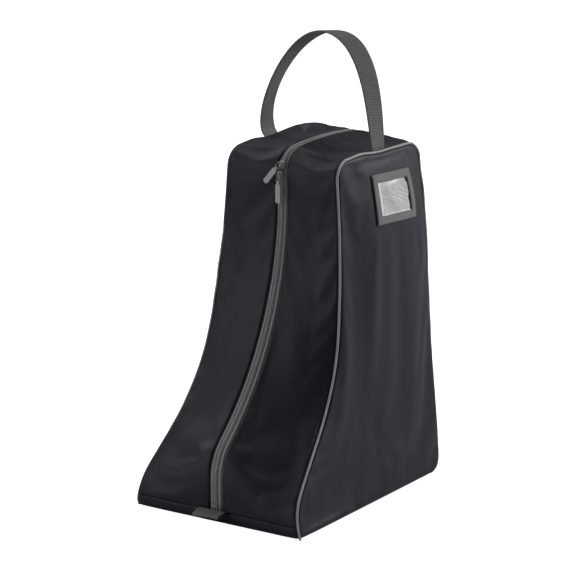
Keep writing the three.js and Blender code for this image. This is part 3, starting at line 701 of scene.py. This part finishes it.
def add_side_panels(material):
    # Rows rise and columns run rearward, which faces the grid towards +X.
    gathers = (0.7, 0.9, 1.1, 0.6)
    growth = 0.0012
    base = side_grid("right")
    panel("side_panel_right", drape(base, 4.0, SIDE_FOLDS, gathers, window_zone(base), growth), material)
    lower = np.array([1, 1, 0.97])
    folds = [(end * lower, start * lower, width, rise) for start, end, width, rise in SIDE_FOLDS]
    left = drape(side_grid("left"), 7.0, folds, gathers, growth=growth) * MIRROR
    panel("side_panel_left", left[:, ::-1], material)


# ---- rear panel ----
def rear_grid():
    top = float(rear_seam(REAR_SEAM_HEIGHT))
    s = (top + steps(PIPING_LINE.length - top, CLOTH_STEP))[:, None]
    y, z, heading = PIPING_LINE.at(s)
    half_width = side_x(y, z) - seam_inset(s, "right")
    across = 2 * shares(REAR_NOMINAL) - 1
    height = np.clip(z / REAR_SEAM_HEIGHT, 0, 1)
    swell = REAR_BULGE * (1 - across ** 4) * (1 - (2 * height - 1) ** 4)
    seam = roll((1 - np.abs(across)) * half_width, EDGE_ROLL * seam_inset(s, "right"))
    depth = np.minimum(seam + roll(s - top) + roll(PIPING_LINE.length - s), ROLL_DEPTH)
    grid = inside(across * half_width, (y, z, heading), depth - swell)
    grid[..., 2] = np.maximum(grid[..., 2], 0.4)
    return grid


REAR_FOLDS = [
    ((-60, 172, 330), (40, 176, 250), 22, 2.2),
    ((70, 172, 300), (10, 176, 160), 26, -2.0),
    ((-80, 170, 200), (-20, 174, 90), 24, 2.4),
    ((60, 168, 120), (100, 165, 40), 16, 2.0),
    ((-90, 165, 30), (-60, 168, 90), 10, -1.8),
    ((0, 160, 20), (14, 166, 70), 9, 1.6),
]


def add_rear_panel(material):
    grid = rear_grid()
    panel("rear_panel", drape(grid, 9.0, REAR_FOLDS, (0.9, 0.9, 0.6, 0.9)), material)


# ---- base ----
BASE_CORNER = 5.0


def base_grid():
    toe = float(ZIP_LINE.at(0.0)[0]) + 1
    heel = float(PIPING_LINE.at(PIPING_LINE.length)[0]) - 0.6
    profile = (
        SeamLine(heel, 0.0, -90)
        .run(heel - toe - BASE_CORNER)
        .turn(BASE_CORNER, 90)
        .run(BASE_SEAM_HEIGHT - BASE_CORNER + 0.5)
    )
    s = steps(profile.length, 6.0)[:, None]
    half_width = float(front_half_width(BASE_SEAM_HEIGHT)) - SEAM_INSET
    x = (steps(2 * half_width, 6.0) - half_width)[None, :]
    depth = 0.6 * np.minimum(roll(half_width - np.abs(x)) + roll(s) + roll(profile.length - s), ROLL_DEPTH)
    # The pen draws this profile with the outside on its left.
    return settle(inside(x, profile.at(s), depth))


def add_base(material):
    grid = base_grid()
    rising = np.clip(grid[..., 2:] / 6.0, 0, 1)
    normals = grid_normals(grid)
    outward = np.where((normals[..., 2:] < 0.1).mean() > 0.5, 1.0, -1.0)
    ripple = puckers(grid, (0.0, 0.0, 0.0, 0.7), 3.0)[..., None] * rising
    panel("base_panel", grid + normals * outward * ripple, material)


# ---- piping ----
def along_seam(s, side, radius, drop, sides=10):
    """A cord that runs along a piping seam, this far below the seam's outer corner."""
    place = PIPING_LINE.at(s[:, None])
    across = side_x(*place[:2]) - drop + radius * np.cos(circle(sides))
    rings = settle(inside(across, place, drop - radius * np.sin(circle(sides))), side)
    rings[..., 2] = np.maximum(rings[..., 2], 0.1)
    points, faces, uv = tube(rings)
    return *on_side(side, points, faces), uv


def add_seam_allowances(material):
    """The rolled edges of the panels, which close each piped seam from inside."""
    s = np.arange(6.0, PIPING_LINE.length - 6.0, 5.0)
    for side in SIDES:
        points, faces, uv = along_seam(s, side, ALLOWANCE_RADIUS, 2.8 + 0.8 * sunk(s, side)[:, None])
        piece("seam_allowance_" + side, points, faces, material, "bag", "nylon", uv)


def add_piping(material):
    start = float(front_seam(1.2))
    end = lerp(PIPING_HEEL, PIPING_LINE.length, 0.6)
    s = np.arange(start, end, 2.6)
    for side, seed in zip(SIDES, (0.0, 5.0)):
        # The cord sinks a little between its stitches and wanders with the pull of the fabric.
        radius = CORD_RADIUS * (1 + 0.035 * np.sin(2 * math.pi * s / 7.8 + seed))[:, None]
        drop = (0.5 + SINK * sunk(s, side) - 0.3 * wave(s, 52.0, seed))[:, None]
        points, faces, uv = along_seam(s, side, radius, drop)
        piece("piping_" + side + "_cord", points, faces, material, "bag", "piping", uv, ["piping_" + side])


# ---- zip ----
def zip_ribbon(s, x, depth):
    """Points at x on the zip, which is almost flat across."""
    return inside(x, ZIP_LINE.at(s), depth + 0.00035 * x ** 2)


def add_zip_tapes(material):
    s = np.arange(0.0, ZIP_LINE.length, 4.0)[:, None]
    # Across the tape: the coil's bed, the groove where the coil is sewn on, the flat, the hidden edge.
    x, depth = np.array([
        (0.7, 0.9), (2.6, 0.9), (3.0, 1.6), (3.2, 2.8), (3.6, 2.8), (3.9, 1.4), (4.3, 1.0),
        (5.7, 1.0), (6.2, 1.6), (6.7, 4.0), (9.5, 4.4), (TAPE_HALF_WIDTH, 4.4),
    ]).T
    flat = 3.0
    narrow = (zip_opening(s) - flat) / (ZIP_OPENING - flat)
    x = np.where(x > flat, flat + (x - flat) * narrow, x)
    points, faces, uv = shell(zip_ribbon(s, x, depth), zip_ribbon(s, x, depth + TAPE_THICKNESS))
    for side in SIDES:
        solid = on_side(side, points, faces)
        piece("zip_tape_" + side + "_woven", *solid, material, "bag", "zip_tape", uv, ["zip_tape_" + side])


TOOTH_PITCH = 1.5
TOOTH_LEAN = 0.22


def add_zip_coil(material):
    """Each half of the coil is a row of monofilament loops that lean along the zip and meet at the middle."""
    loop = np.array([
        # x, radius across, radius out, rise
        (-0.75, 0.12, 0.20, -0.10),
        (-0.60, 0.42, 0.62, 0.00),
        (0.30, 0.40, 0.60, 0.05),
        (1.50, 0.38, 0.55, 0.02),
        (2.40, 0.38, 0.50, -0.25),
        (2.85, 0.34, 0.60, -0.80),
        (2.95, 0.12, 0.25, -1.30),
    ])
    x, wide, tall, rise = loop.T[:, None, :, None]
    angle = circle(6)
    places = np.arange(COIL_START, ZIP_LINE.length - 8.0, TOOTH_PITCH)
    for side, shift in zip(SIDES, (0.0, TOOTH_PITCH / 2)):
        s = (places + shift)[:, None, None] + TOOTH_LEAN * x + wide * np.cos(angle)
        out = COIL_PROUD - 0.62 + rise + tall * np.sin(angle)
        points = inside(x, ZIP_LINE.at(s), -out).reshape(-1, 3)
        uv = np.stack([points[:, 0], np.repeat(places + shift, len(loop) * len(angle))], axis=-1)
        solid = on_side(side, points, capped_faces(len(places), len(loop), len(angle)))
        piece("zip_coil_" + side + "_loops", *solid, material, "bag", "zip_coil", uv, ["zip_coil_" + side])


# ---- stitches ----
def stitch_row(path, outs, length=2.6, gap=1.1, radius=0.22):
    """A row of thread stitches along a path of dense points with outward directions: points and faces."""
    distances = path_lengths(path)
    centres = np.arange(length, distances[-1] - length, length + gap)
    # The rings of a stitch: place along it, width, rise.
    along, wide, rise = np.array([
        (-0.5, 0.25, -0.35), (-0.38, 0.9, 0.0), (0.0, 1.0, 0.18), (0.38, 0.9, 0.0), (0.5, 0.25, -0.35),
    ]).T
    angle = circle(5)
    at = centres[:, None] + along * length
    ahead = sample(path, distances, at + 0.2) - sample(path, distances, at - 0.2)
    ahead /= np.linalg.norm(ahead, axis=-1, keepdims=True)
    out = sample(outs, distances, at)
    across = radius * wide[:, None] * np.cos(angle)
    up = radius * (wide[:, None] * np.sin(angle) + rise[:, None])
    points = (
        sample(path, distances, at)[..., None, :]
        + np.cross(ahead, out)[..., None, :] * across[..., None]
        + out[..., None, :] * up[..., None]
    )
    return points.reshape(-1, 3), capped_faces(len(centres), len(along), len(angle))


def add_zip_stitching(material):
    """Top stitching that holds each fabric fold down beside the zip."""
    zip_at, piping_at = gusset_stations(3.0)
    grid = gusset_point(zip_at, piping_at, zip_opening(zip_at) + 3.0, -0.15 + 0 * zip_at)[:, 0]
    heading = ZIP_LINE.at(zip_at)[2][:, 0]
    out = np.stack([0 * heading, -np.cos(heading), np.sin(heading)], axis=-1)
    points, faces = joined([stitch_row(grid, out), stitch_row(grid * MIRROR, out)])
    piece("zip_stitching", points, faces, material, "bag", "nylon")


# ---- handle ----
def bezier(f, *controls):
    """Points at shares f of the cubic curve with these four control points."""
    f = f[:, None]
    weights = (1 - f) ** 3, 3 * f * (1 - f) ** 2, 3 * f ** 2 * (1 - f), f ** 3
    return sum(weight * np.array(point) for weight, point in zip(weights, controls))


# The webbing's front and rear edges in the x-z plane, from each foot to the crown.
HANDLE_EDGES = {
    "left": (
        ((-86, HANDLE_FOOT), (-106, 475), (-50, HANDLE_TOP), (0, HANDLE_TOP)),
        ((-86, HANDLE_FOOT), (-107, 488), (-45, HANDLE_TOP - 2), (16, HANDLE_TOP - 2)),
    ),
    "right": (
        ((79.5, HANDLE_FOOT), (70, 496), (62, HANDLE_TOP), (0, HANDLE_TOP)),
        ((79.5, HANDLE_FOOT), (77.5, 484), (77, HANDLE_TOP - 2), (16, HANDLE_TOP - 2)),
    ),
}
RIB_PITCH = 3.4
RIB_HEIGHT = 0.26


def handle_side(side, f):
    """Middle of the webbing and the half vector across it, from the foot (f = 0) to the crown (f = 1)."""
    front, rear = (bezier(f, *edge) for edge in HANDLE_EDGES[side])
    across = rear - front
    dy = np.sqrt(WEBBING_WIDTH ** 2 - (across ** 2).sum(1))
    middle = (front + rear) / 2
    middle = np.stack([middle[:, 0], np.full(len(f), HANDLE_Y), middle[:, 1]], axis=-1)
    return middle, np.stack([across[:, 0], dy, across[:, 1]], axis=-1) / 2


def handle_path():
    """Evenly spaced middles and half vectors over the whole strap, with its ends run down into the seams."""
    f = np.linspace(0, 1, 240) ** 1.5
    left_middle, left_half = handle_side("left", f)
    right_middle, right_half = handle_side("right", f)
    sewn_in = 7.0
    left_end, right_end = np.array([[[sign * (TOP_HALF_WIDTH - 3.0), HANDLE_Y, HANDLE_FOOT - sewn_in]]
                                    for sign in (-1, 1)])
    middle = np.concatenate([left_end, left_middle, right_middle[-2::-1], right_end])
    half = np.concatenate([left_half[:1], left_half, right_half[-2::-1], right_half[:1]])
    distances = path_lengths(middle)
    even = np.arange(0, distances[-1], RIB_PITCH / 4)
    return even, sample(middle, distances, even), sample(half, distances, even)


def webbing_sheet(s, middle, half, thickness):
    """A ribbed woven strap along a path: its points, faces and UVs."""
    normal = np.cross(np.gradient(middle, axis=0), half)
    normal /= np.linalg.norm(normal, axis=1, keepdims=True)
    edge = np.array([0.2, 0.4, 0.6, 0.8, 0.93, 0.985, 1])
    across = np.concatenate([-edge[::-1], [0], edge])
    body = np.where(np.abs(across) > 0.99, 0.25, np.where(np.abs(across) > 0.97, 0.75, 1.0)) * thickness / 2
    ribs = RIB_HEIGHT * np.cos(2 * math.pi * s / RIB_PITCH)[:, None] * (np.abs(across) < 0.9)
    flat = middle[:, None] + half[:, None] * across[None, :, None]
    lift = normal[:, None] * (body + ribs)[..., None]
    return shell(flat + lift, flat - lift)


def add_handle(material):
    points, faces, uv = webbing_sheet(*handle_path(), WEBBING_THICKNESS - 0.3)
    strap = piece("handle_webbing", points, faces, material, "handle", "webbing", uv, ["handle"], ride=False)
    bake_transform(strap)


# ---- tab at the foot of the zip ----
def add_tab(material):
    """A strip of webbing that leaves the base seam, folds back and is sewn in under itself."""
    layer, apart = 1.3, 2.6
    straight = TAB_REACH - apart / 2
    low = np.linspace(0, straight, 9)
    turn = np.linspace(-math.pi / 2, math.pi / 2, 9)[1:-1]
    out = np.concatenate([low, straight + apart / 2 * np.cos(turn), low[::-1]])
    up = np.concatenate([np.full(9, -apart / 2), apart / 2 * np.sin(turn), np.full(9, apart / 2)])
    across = np.linspace(-1, 1, 22)
    reach, share = np.meshgrid(out, across, indexing="ij")
    height = np.broadcast_to(up[:, None], reach.shape)
    # The left end droops and its corner is worn round.
    away = reach / TAB_REACH
    droop = 1.6 * np.clip(-share, 0, 1) ** 2 * away - 0.5 * np.sin(3 * share) * away
    width = TAB_WIDTH / 2 * (1 - 0.10 * away ** 3 * (share < 0))
    slope = math.radians(TAB_SLOPE)
    root_y = float(ZIP_LINE.at(0.0)[0]) - 0.9
    y = root_y - reach * math.cos(slope) + height * math.sin(slope)
    z = BASE_SEAM_HEIGHT + 1 - reach * math.sin(slope) + height * math.cos(slope) - droop
    grid = np.stack([TAB_X + share * width, y, z], axis=-1)
    normals = grid_normals(grid)
    points, faces, uv = shell(grid + normals * layer / 2, grid - normals * layer / 2)
    piece("zip_tab_webbing", points, faces, material, "bag", "webbing", uv, ["zip_tab"], 1)


# ---- card window ----
def on_window(a, b, stand_off):
    """Points in the window's own plane, a rearward and b upward from its middle, wrapped on the side panel.

    The cloth pulls the upper rear corner in and bows the rear edge out.
    """
    rearward, upward = a / WINDOW["width"] + 0.5, 2 * b / WINDOW["height"]
    pull = rearward * (1 + upward) / 2
    a = a - 5.0 * pull + 3.4 * rearward * (1 - upward ** 2) + 3.0 * (1 - rearward) * (1 - upward) / 2 - 3.2
    b = b - 0.6 * pull + 0.5
    tilt = math.radians(WINDOW["tilt"])
    y = WINDOW["y"] + a * math.cos(tilt) - b * math.sin(tilt)
    z = WINDOW["z"] + a * math.sin(tilt) + b * math.cos(tilt)
    return np.stack([side_x(y, z) + stand_off, y, z], axis=-1)


def window_strip(a0, a1, b0, b1, along_a):
    """One side of the frame: webbing with rounded selvages, mitred at 45 degrees."""
    selvage = np.array([0.0, 0.06, 0.2, 0.5, 0.8, 0.94, 1.0])
    body = np.array([0.15, 0.85, 1.0, 1.0, 1.0, 0.85, 0.15]) * 1.1
    f, g = np.meshgrid(np.linspace(0, 1, 40), selvage, indexing="ij")
    cut = WINDOW["border"] * g
    if along_a:
        a, b = lerp(a0 + cut, a1 - cut, f), lerp(b0, b1, g)
    else:
        a, b = lerp(a0, a1, g), lerp(b0 + cut, b1 - cut, f)
    return shell(on_window(a, b, 1.6 + body), on_window(a, b, 1.6))


def add_window_backing(material):
    """The pocket's nylon backing, which shows as a dark edge in front of the frame."""
    w, h = WINDOW["width"] / 2, WINDOW["height"] / 2
    a, b = np.meshgrid(np.linspace(-w - 1.4, w - 0.3, 30), np.linspace(-h - 0.4, h - 0.3, 24), indexing="ij")
    points, faces, uv = shell(on_window(a, b, 0.4), on_window(a, b, -1.2))
    piece("window_backing", points, faces[:, ::-1], material, "bag", "nylon", uv)


def add_window_frame(material):
    w, h, border = WINDOW["width"] / 2, WINDOW["height"] / 2, WINDOW["border"]
    strips = {
        # from outside to inside, the run at full length, and which way round its faces are
        "top": ((-w, w, h, h - border, True), -1, ["window_frame"]),
        "bottom": ((-w, w, -h, border - h, True), 1, ()),
        "front": ((-w, border - w, -h, h, False), -1, ()),
        "rear": ((w, w - border, -h, h, False), 1, ()),
    }
    for name, (ends, turn, replaces) in strips.items():
        points, faces, uv = window_strip(*ends)
        piece("window_frame_" + name, points, faces[:, ::turn], material, "bag", "window_frame", uv, replaces)


def add_window_stitching(thread):
    """Two rows of stitches run round the frame, near its outer and inner edges."""
    rows = []
    f = np.linspace(0, 1, 60)
    for margin in (1.6, WINDOW["border"] - 1.8):
        a, b = WINDOW["width"] / 2 - margin, WINDOW["height"] / 2 - margin
        corners = [(-a, -b), (a, -b), (a, b), (-a, b), (-a, -b)]
        for (a0, b0), (a1, b1) in zip(corners, corners[1:]):
            path = on_window(lerp(a0, a1, f), lerp(b0, b1, f), 2.75)
            rows.append(stitch_row(path, np.broadcast_to([1.0, 0, 0], path.shape), 2.2, 1.0, 0.2))
    piece("window_stitching", *joined(rows), thread, "bag", "window_frame")


def add_film(material):
    """Clear film that has creased in use. Its rear edge is open, to slip a card in, and stands off."""
    w = WINDOW["width"] / 2 - WINDOW["border"]
    h = WINDOW["height"] / 2 - WINDOW["border"]
    tuck = 4.0
    slot = 3.6
    f, g = np.meshgrid(np.linspace(0, 1, 90), np.linspace(0, 1, 64), indexing="ij")
    b = (h + tuck) * (2 * g - 1)
    edge = w - slot + 0.9 * np.sin(b / 4.3) + 0.5 * np.sin(b / 1.9 + 1) - 1.2 * (b < -h + 3)
    a = lerp(-w - tuck, edge, f)
    crease = (
        1.0 * np.sin((a * 0.9 - b * 0.45) / 13.0 + 1.6 * np.sin(b / 12 + 1) + 0.8) ** 2
        + 0.5 * np.sin((a * 0.35 - b) / 12.0 + 1.8 * np.sin(a / 10) + 2) ** 2
        + 0.22 * np.sin((a + b * 1.3) / 4.4 + 1.9 * np.sin(b / 5)) ** 2
    )
    # It has curled where it meets the front and lower sides of the frame.
    inward = np.minimum(a + w, b + h)
    curl = np.clip(1 - inward / 3.0, 0, 1) * (inward > -1)
    crease = crease + curl * (0.7 + 0.5 * np.sin(a / 2.1 + b / 1.7))
    held = np.clip(np.minimum(f * 8, np.minimum(g, 1 - g) * 6), 0, 1)
    stand = 0.55 + crease * held + 0.5 * f ** 6
    points, faces, uv = shell(on_window(a, b, stand + 0.25), on_window(a, b, stand))
    piece("window_film_creased", points, faces[:, ::-1], material, "bag", "window_film", uv, ["window_film"])


# ---- materials ----
class Shader:
    """A material's node tree, built with one short call per node."""

    def __init__(self, name):
        self.material = bpy.data.materials.new(name)
        self.material.use_nodes = True
        self.tree = self.material.node_tree
        self.surface = self.tree.nodes["Principled BSDF"]

    def feed(self, socket, value):
        if isinstance(value, bpy.types.NodeSocket):
            self.tree.links.new(value, socket)
        else:
            socket.default_value = value

    def finish(self, **values):
        """The material, with its surface's inputs fed."""
        for name, value in values.items():
            self.feed(self.surface.inputs[name.replace("_", " ")], value)
        return self.material

    def node(self, kind, inputs, output=0, **settings):
        """One output of a new node of this kind."""
        node = self.tree.nodes.new("ShaderNode" + kind)
        for name, value in settings.items():
            setattr(node, name, value)
        for socket, value in inputs.items():
            self.feed(node.inputs[socket], value)
        return node.outputs[output]

    def math(self, operation, a, b=0.0):
        return self.node("Math", {0: a, 1: b}, operation=operation)

    def uv(self):
        """Distances across and along the piece, in metres."""
        place = self.node("TexCoord", {}, "UV")
        return self.node("SeparateXYZ", {0: place}, 0), self.node("SeparateXYZ", {0: place}, 1)

    def noise(self, size, detail=3.0, roughness=0.5):
        """Noise between 0 and 1 with features of about this size in metres."""
        place = self.node("TexCoord", {}, "Object")
        inputs = {"Vector": place, "Scale": 1 / size, "Detail": detail, "Roughness": roughness}
        return self.node("TexNoise", inputs, "Fac")

    def between(self, factor, low, high):
        """A value from low to high as factor goes from 0 to 1."""
        return self.node("MapRange", {"Value": factor, "To Min": low, "To Max": high})

    def mix(self, factor, first, second):
        """A colour from first to second."""
        return self.node("Mix", {0: factor, 6: first, 7: second}, 2, data_type="RGBA")

    def stripe(self, position, pitch):
        """A wave from -1 to 1 that repeats every pitch metres."""
        return self.math("SINE", self.math("MULTIPLY", position, 2 * math.pi / pitch))

    def bump(self, height, distance, strength=1.0, **normal):
        inputs = {"Height": height, "Distance": distance, "Strength": strength, **normal}
        return self.node("Bump", inputs)


def grey(value, warm=0.0):
    """A linear grey, or a brownish one where warm is above 0."""
    return (value * (1 + warm), value, value * (1 - warm), 1.0)


def nylon_material():
    """Plain-woven nylon with a faint sheen, a little crumpled."""
    shader = Shader("nylon")
    u, v = shader.uv()
    weave = shader.math("MULTIPLY", shader.stripe(u, 0.0009), shader.stripe(v, 0.0009))
    cloud = shader.noise(0.07, 4.0)
    rumpled = shader.bump(shader.noise(0.028), 0.0016, 0.5)
    crinkled = shader.bump(shader.noise(0.006, 5.0, 0.65), 0.00035, 0.35, Normal=rumpled)
    return shader.finish(
        Base_Color=shader.mix(cloud, (0.0080, 0.0074, 0.0130, 1), (0.0118, 0.0110, 0.0184, 1)),
        Roughness=shader.between(cloud, 0.46, 0.58),
        Specular_IOR_Level=0.40,
        Specular_Tint=(0.88, 0.87, 1.0, 1),
        Normal=shader.bump(weave, 0.00006, 0.5, Normal=crinkled),
    )


def webbing_material(name, value, pitch):
    """Woven polypropylene: ribs across the strap, fine ends along it, and painted shade that darkens the
    valleys between the ribs.
    """
    shader = Shader(name)
    u, v = shader.uv()
    rib = shader.stripe(v, pitch)
    ends = shader.math("MULTIPLY", shader.stripe(u, 0.0013), 0.4)
    height = shader.math("ADD", shader.math("MULTIPLY", rib, 0.6), ends)
    fibre = shader.noise(0.0008, 4.0)
    wear = shader.between(shader.noise(0.03, 4.0), 0.0, 0.35)
    # painted shade: the colour darkens towards the valleys between the ribs
    rib_valley_painted_shade = shader.mix(shader.between(rib, 0.35, 1.0), grey(value * 0.35), grey(value))
    return shader.finish(
        Base_Color=shader.mix(wear, rib_valley_painted_shade, grey(value * 1.35)),
        Roughness=shader.between(fibre, 0.62, 0.82),
        Sheen_Weight=0.12,
        Normal=shader.bump(height, 0.00022, 0.7, Normal=shader.bump(fibre, 0.00012, 0.5)),
    )


def tape_material():
    """Knitted zip tape."""
    shader = Shader("zip_tape")
    u, v = shader.uv()
    knit = shader.math("MULTIPLY", shader.stripe(u, 0.0011), shader.stripe(v, 0.0016))
    return shader.finish(
        Base_Color=shader.mix(shader.noise(0.0007), grey(0.25), grey(0.38)),
        Roughness=0.72,
        Sheen_Weight=0.15,
        Normal=shader.bump(knit, 0.00015, 0.7),
    )


def piping_material():
    """Bias tape wrapped tight round a cord: a fine diagonal weave with a satin shine."""
    shader = Shader("piping")
    u, v = shader.uv()
    first = shader.stripe(shader.math("ADD", u, v), 0.0010)
    second = shader.stripe(shader.math("SUBTRACT", u, v), 0.0010)
    return shader.finish(
        Base_Color=shader.mix(shader.noise(0.02), grey(0.28), grey(0.39)),
        Roughness=0.48,
        Sheen_Weight=0.2,
        Normal=shader.bump(shader.math("MULTIPLY", first, second), 0.00008, 0.6),
    )


def coil_material():
    """Polyester monofilament."""
    shader = Shader("zip_coil")
    tone = shader.noise(0.004)
    return shader.finish(
        Base_Color=shader.mix(tone, grey(0.27), grey(0.40)),
        Roughness=shader.between(tone, 0.32, 0.48),
        Normal=shader.bump(shader.noise(0.0006), 0.00003, 0.5),
    )


def metal_material():
    """Die-cast zinc sprayed grey: a fine orange peel, with the paint rubbed thin in places."""
    shader = Shader("cast_metal")
    peel = shader.noise(0.0009, 2.0)
    rub = shader.math("GREATER_THAN", shader.noise(0.0025, 5.0), 0.62)
    return shader.finish(
        Base_Color=shader.mix(rub, grey(0.30), grey(0.46)),
        Metallic=shader.between(rub, 0.55, 0.95),
        Roughness=shader.between(peel, 0.42, 0.56),
        Normal=shader.bump(peel, 0.00004, 0.6),
    )


def rubber_material(name, value):
    shader = Shader(name)
    grain = shader.noise(0.0005, 4.0)
    return shader.finish(
        Base_Color=shader.mix(shader.noise(0.006), grey(value * 0.88), grey(value * 1.1)),
        Roughness=shader.between(grain, 0.42, 0.56),
        Normal=shader.bump(grain, 0.00004, 0.6),
    )


def film_material():
    """Hazy clear film over its silver-grey backing, with a painted highlight that turns it near white along
    its curled front and lower edges.
    """
    shader = Shader("window_film")
    haze = shader.noise(0.012, 4.0)
    up, rearward = shader.uv()
    seen = shader.math("SUBTRACT", rearward, 0.0028)
    from_curl = shader.math("SUBTRACT", shader.math("MINIMUM", up, seen), 0.0046)
    # painted highlight: the colour goes to near white along the curled front and lower edges
    curl_painted_highlight = shader.between(shader.math("DIVIDE", from_curl, 0.0018), 1.0, 0.0)
    return shader.finish(
        Base_Color=shader.mix(curl_painted_highlight, shader.mix(haze, grey(0.40), grey(0.72)), grey(0.92)),
        Roughness=shader.between(haze, 0.30, 0.42),
        Coat_Weight=0.35,
        Coat_Roughness=0.22,
        Normal=shader.bump(shader.noise(0.009, roughness=0.6), 0.0005, 0.35),
    )


def board_material():
    """Brownish fibre board."""
    shader = Shader("board")
    fibre = shader.noise(0.002, 6.0)
    return shader.finish(
        Base_Color=shader.mix(fibre, grey(0.020, 0.1), grey(0.045, 0.1)),
        Roughness=0.85,
        Normal=shader.bump(fibre, 0.0002, 0.6),
    )


def thread_material(name, value):
    shader = Shader(name)
    colour = shader.mix(shader.noise(0.0006, 2.0), grey(value * 0.8), grey(value * 1.2))
    return shader.finish(Base_Color=colour, Roughness=0.6, Sheen_Weight=0.2)


def dress(nodes, names, material, bevel=0.0):
    """Gives CAD nodes a procedural material and, if asked, softened edges."""
    for name in names:
        node = nodes[name]
        node.data.materials.clear()
        node.data.materials.append(material)
        if bevel:
            node.modifiers.new("weld", "WELD").merge_threshold = 0.00001
            edge = node.modifiers.new("edge", "BEVEL")
            edge.width = bevel
            edge.segments = 3
            edge.limit_method = "ANGLE"


# ---- studio ----
def place(name, data, location, target):
    """A light or camera in the scene, aimed at a target."""
    obj = bpy.data.objects.new(name, data)
    obj.location = location
    obj.rotation_mode = "QUATERNION"
    obj.rotation_quaternion = (Vector(target) - Vector(location)).to_track_quat("-Z", "Y")
    bpy.context.scene.collection.objects.link(obj)
    return obj


LIGHTS = [
    # place, height aimed at, width and height, watts
    ("side_right", (1.8, 1.5, 1.9), 0.25, (1.2, 1.4), 36),
    ("sheen_right", (1.5, 2.3, 1.4), 0.25, (1.2, 1.2), 30),
    ("front_left", (-1.9, -2.1, 1.15), 0.25, (1.2, 1.4), 22),
    ("side_left", (-2.3, 0.9, 1.5), 0.25, (1.2, 1.4), 12),
    ("top", (-0.8, 0.2, 2.5), 0.25, (1.6, 1.6), 14),
    ("sheen_top", (-1.4, 2.5, 1.3), 0.45, (1.6, 1.0), 0.9),
]


def add_lights():
    for name, location, height, size, watts in LIGHTS:
        data = bpy.data.lights.new(name, "AREA")
        data.shape = "RECTANGLE"
        data.size, data.size_y = size
        data.energy = watts
        place(name, data, location, (0, 0, height))


FLOOR = -0.0005              # just under the bag, in metres
FLOOR_HALF = 9.0


def add_floor():
    """Pale studio paper, a little over-lit to the camera as a studio backdrop is."""
    shader = Shader("studio_floor")
    to_camera = shader.node("LightPath", {}, "Is Camera Ray")
    paper = shader.finish(
        Base_Color=shader.mix(shader.noise(0.5, 2.0), grey(0.68), grey(0.71)),
        Roughness=0.9,
        Emission_Color=grey(1.0),
        Emission_Strength=shader.math("MULTIPLY", to_camera, 0.95),
    )
    mesh = bpy.data.meshes.new("studio_floor")
    corners = FLOOR_HALF * np.array([(-1, -1), (1, -1), (1, 1), (-1, 1)])
    mesh.from_pydata([(x, y, FLOOR) for x, y in corners], [], [(0, 1, 2, 3)])
    mesh.materials.append(paper)
    floor = bpy.data.objects.new("studio_floor", mesh)
    bpy.context.scene.collection.objects.link(floor)


def add_world():
    """A dim room whose far wall is white to the camera."""
    world = bpy.data.worlds.new("studio")
    world.use_nodes = True
    tree = world.node_tree
    path = tree.nodes.new("ShaderNodeLightPath")
    strength = tree.nodes.new("ShaderNodeMapRange")
    strength.inputs["To Min"].default_value = 0.07
    strength.inputs["To Max"].default_value = 1.05
    tree.links.new(path.outputs["Is Camera Ray"], strength.inputs["Value"])
    tree.links.new(strength.outputs[0], tree.nodes["Background"].inputs["Strength"])
    tree.nodes["Background"].inputs["Color"].default_value = (1, 1, 1, 1)
    bpy.context.scene.world = world
    bpy.context.scene.view_settings.view_transform = "Standard"


def add_camera():
    """The photograph's view, from far off with a long lens."""
    azimuth, elevation, distance = math.radians(33.3), math.radians(15.8), 4.164
    target = Vector((0.0, 0.0214, 0.2202))
    back = Vector((
        math.sin(azimuth) * math.cos(elevation),
        -math.cos(azimuth) * math.cos(elevation),
        math.sin(elevation),
    ))
    data = bpy.data.cameras.new("camera")
    data.lens = 203.4
    data.sensor_width = 36
    data.shift_x, data.shift_y = -0.0201, 0.0602
    bpy.context.scene.camera = place("camera", data, target + back * distance, target)


# ---- build ----
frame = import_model()

nylon = nylon_material()
add_gussets(nylon)
add_side_panels(nylon)
add_rear_panel(nylon)
add_base(nylon)
add_seam_allowances(nylon)
add_piping(piping_material())
add_zip_tapes(tape_material())
add_zip_coil(coil_material())
add_zip_stitching(thread_material("dark_thread", 0.02))
add_handle(webbing_material("webbing", 0.115, RIB_PITCH * MM))
add_tab(webbing_material("tab_webbing", 0.17, RIB_PITCH * MM))
add_window_backing(nylon)
add_window_frame(webbing_material("window_webbing", 0.20, 0.0022))
add_window_stitching(thread_material("grey_thread", 0.14))
add_film(film_material())

nodes = frame["nodes"]
metal = metal_material()
dress(nodes, ["slider_front", "slider_top"], metal, 0.00025)
dress(nodes, ["zip_stop_front", "zip_stop_rear"], metal, 0.0002)
dress(nodes, ["pull_cord_front", "pull_cord_top"], rubber_material("pull_cord", 0.2), 0.0003)
dress(nodes, ["pull_grip_front", "pull_grip_top"], rubber_material("pull_grip", 0.46), 0.0006)
dress(nodes, ["base_board"], board_material())
bindings = ["base_seam_binding", "seam_binding_right", "seam_binding_left"]
dress(nodes, bindings, webbing_material("binding", 0.012, 0.0012))

add_world()
add_floor()
add_lights()
add_camera()
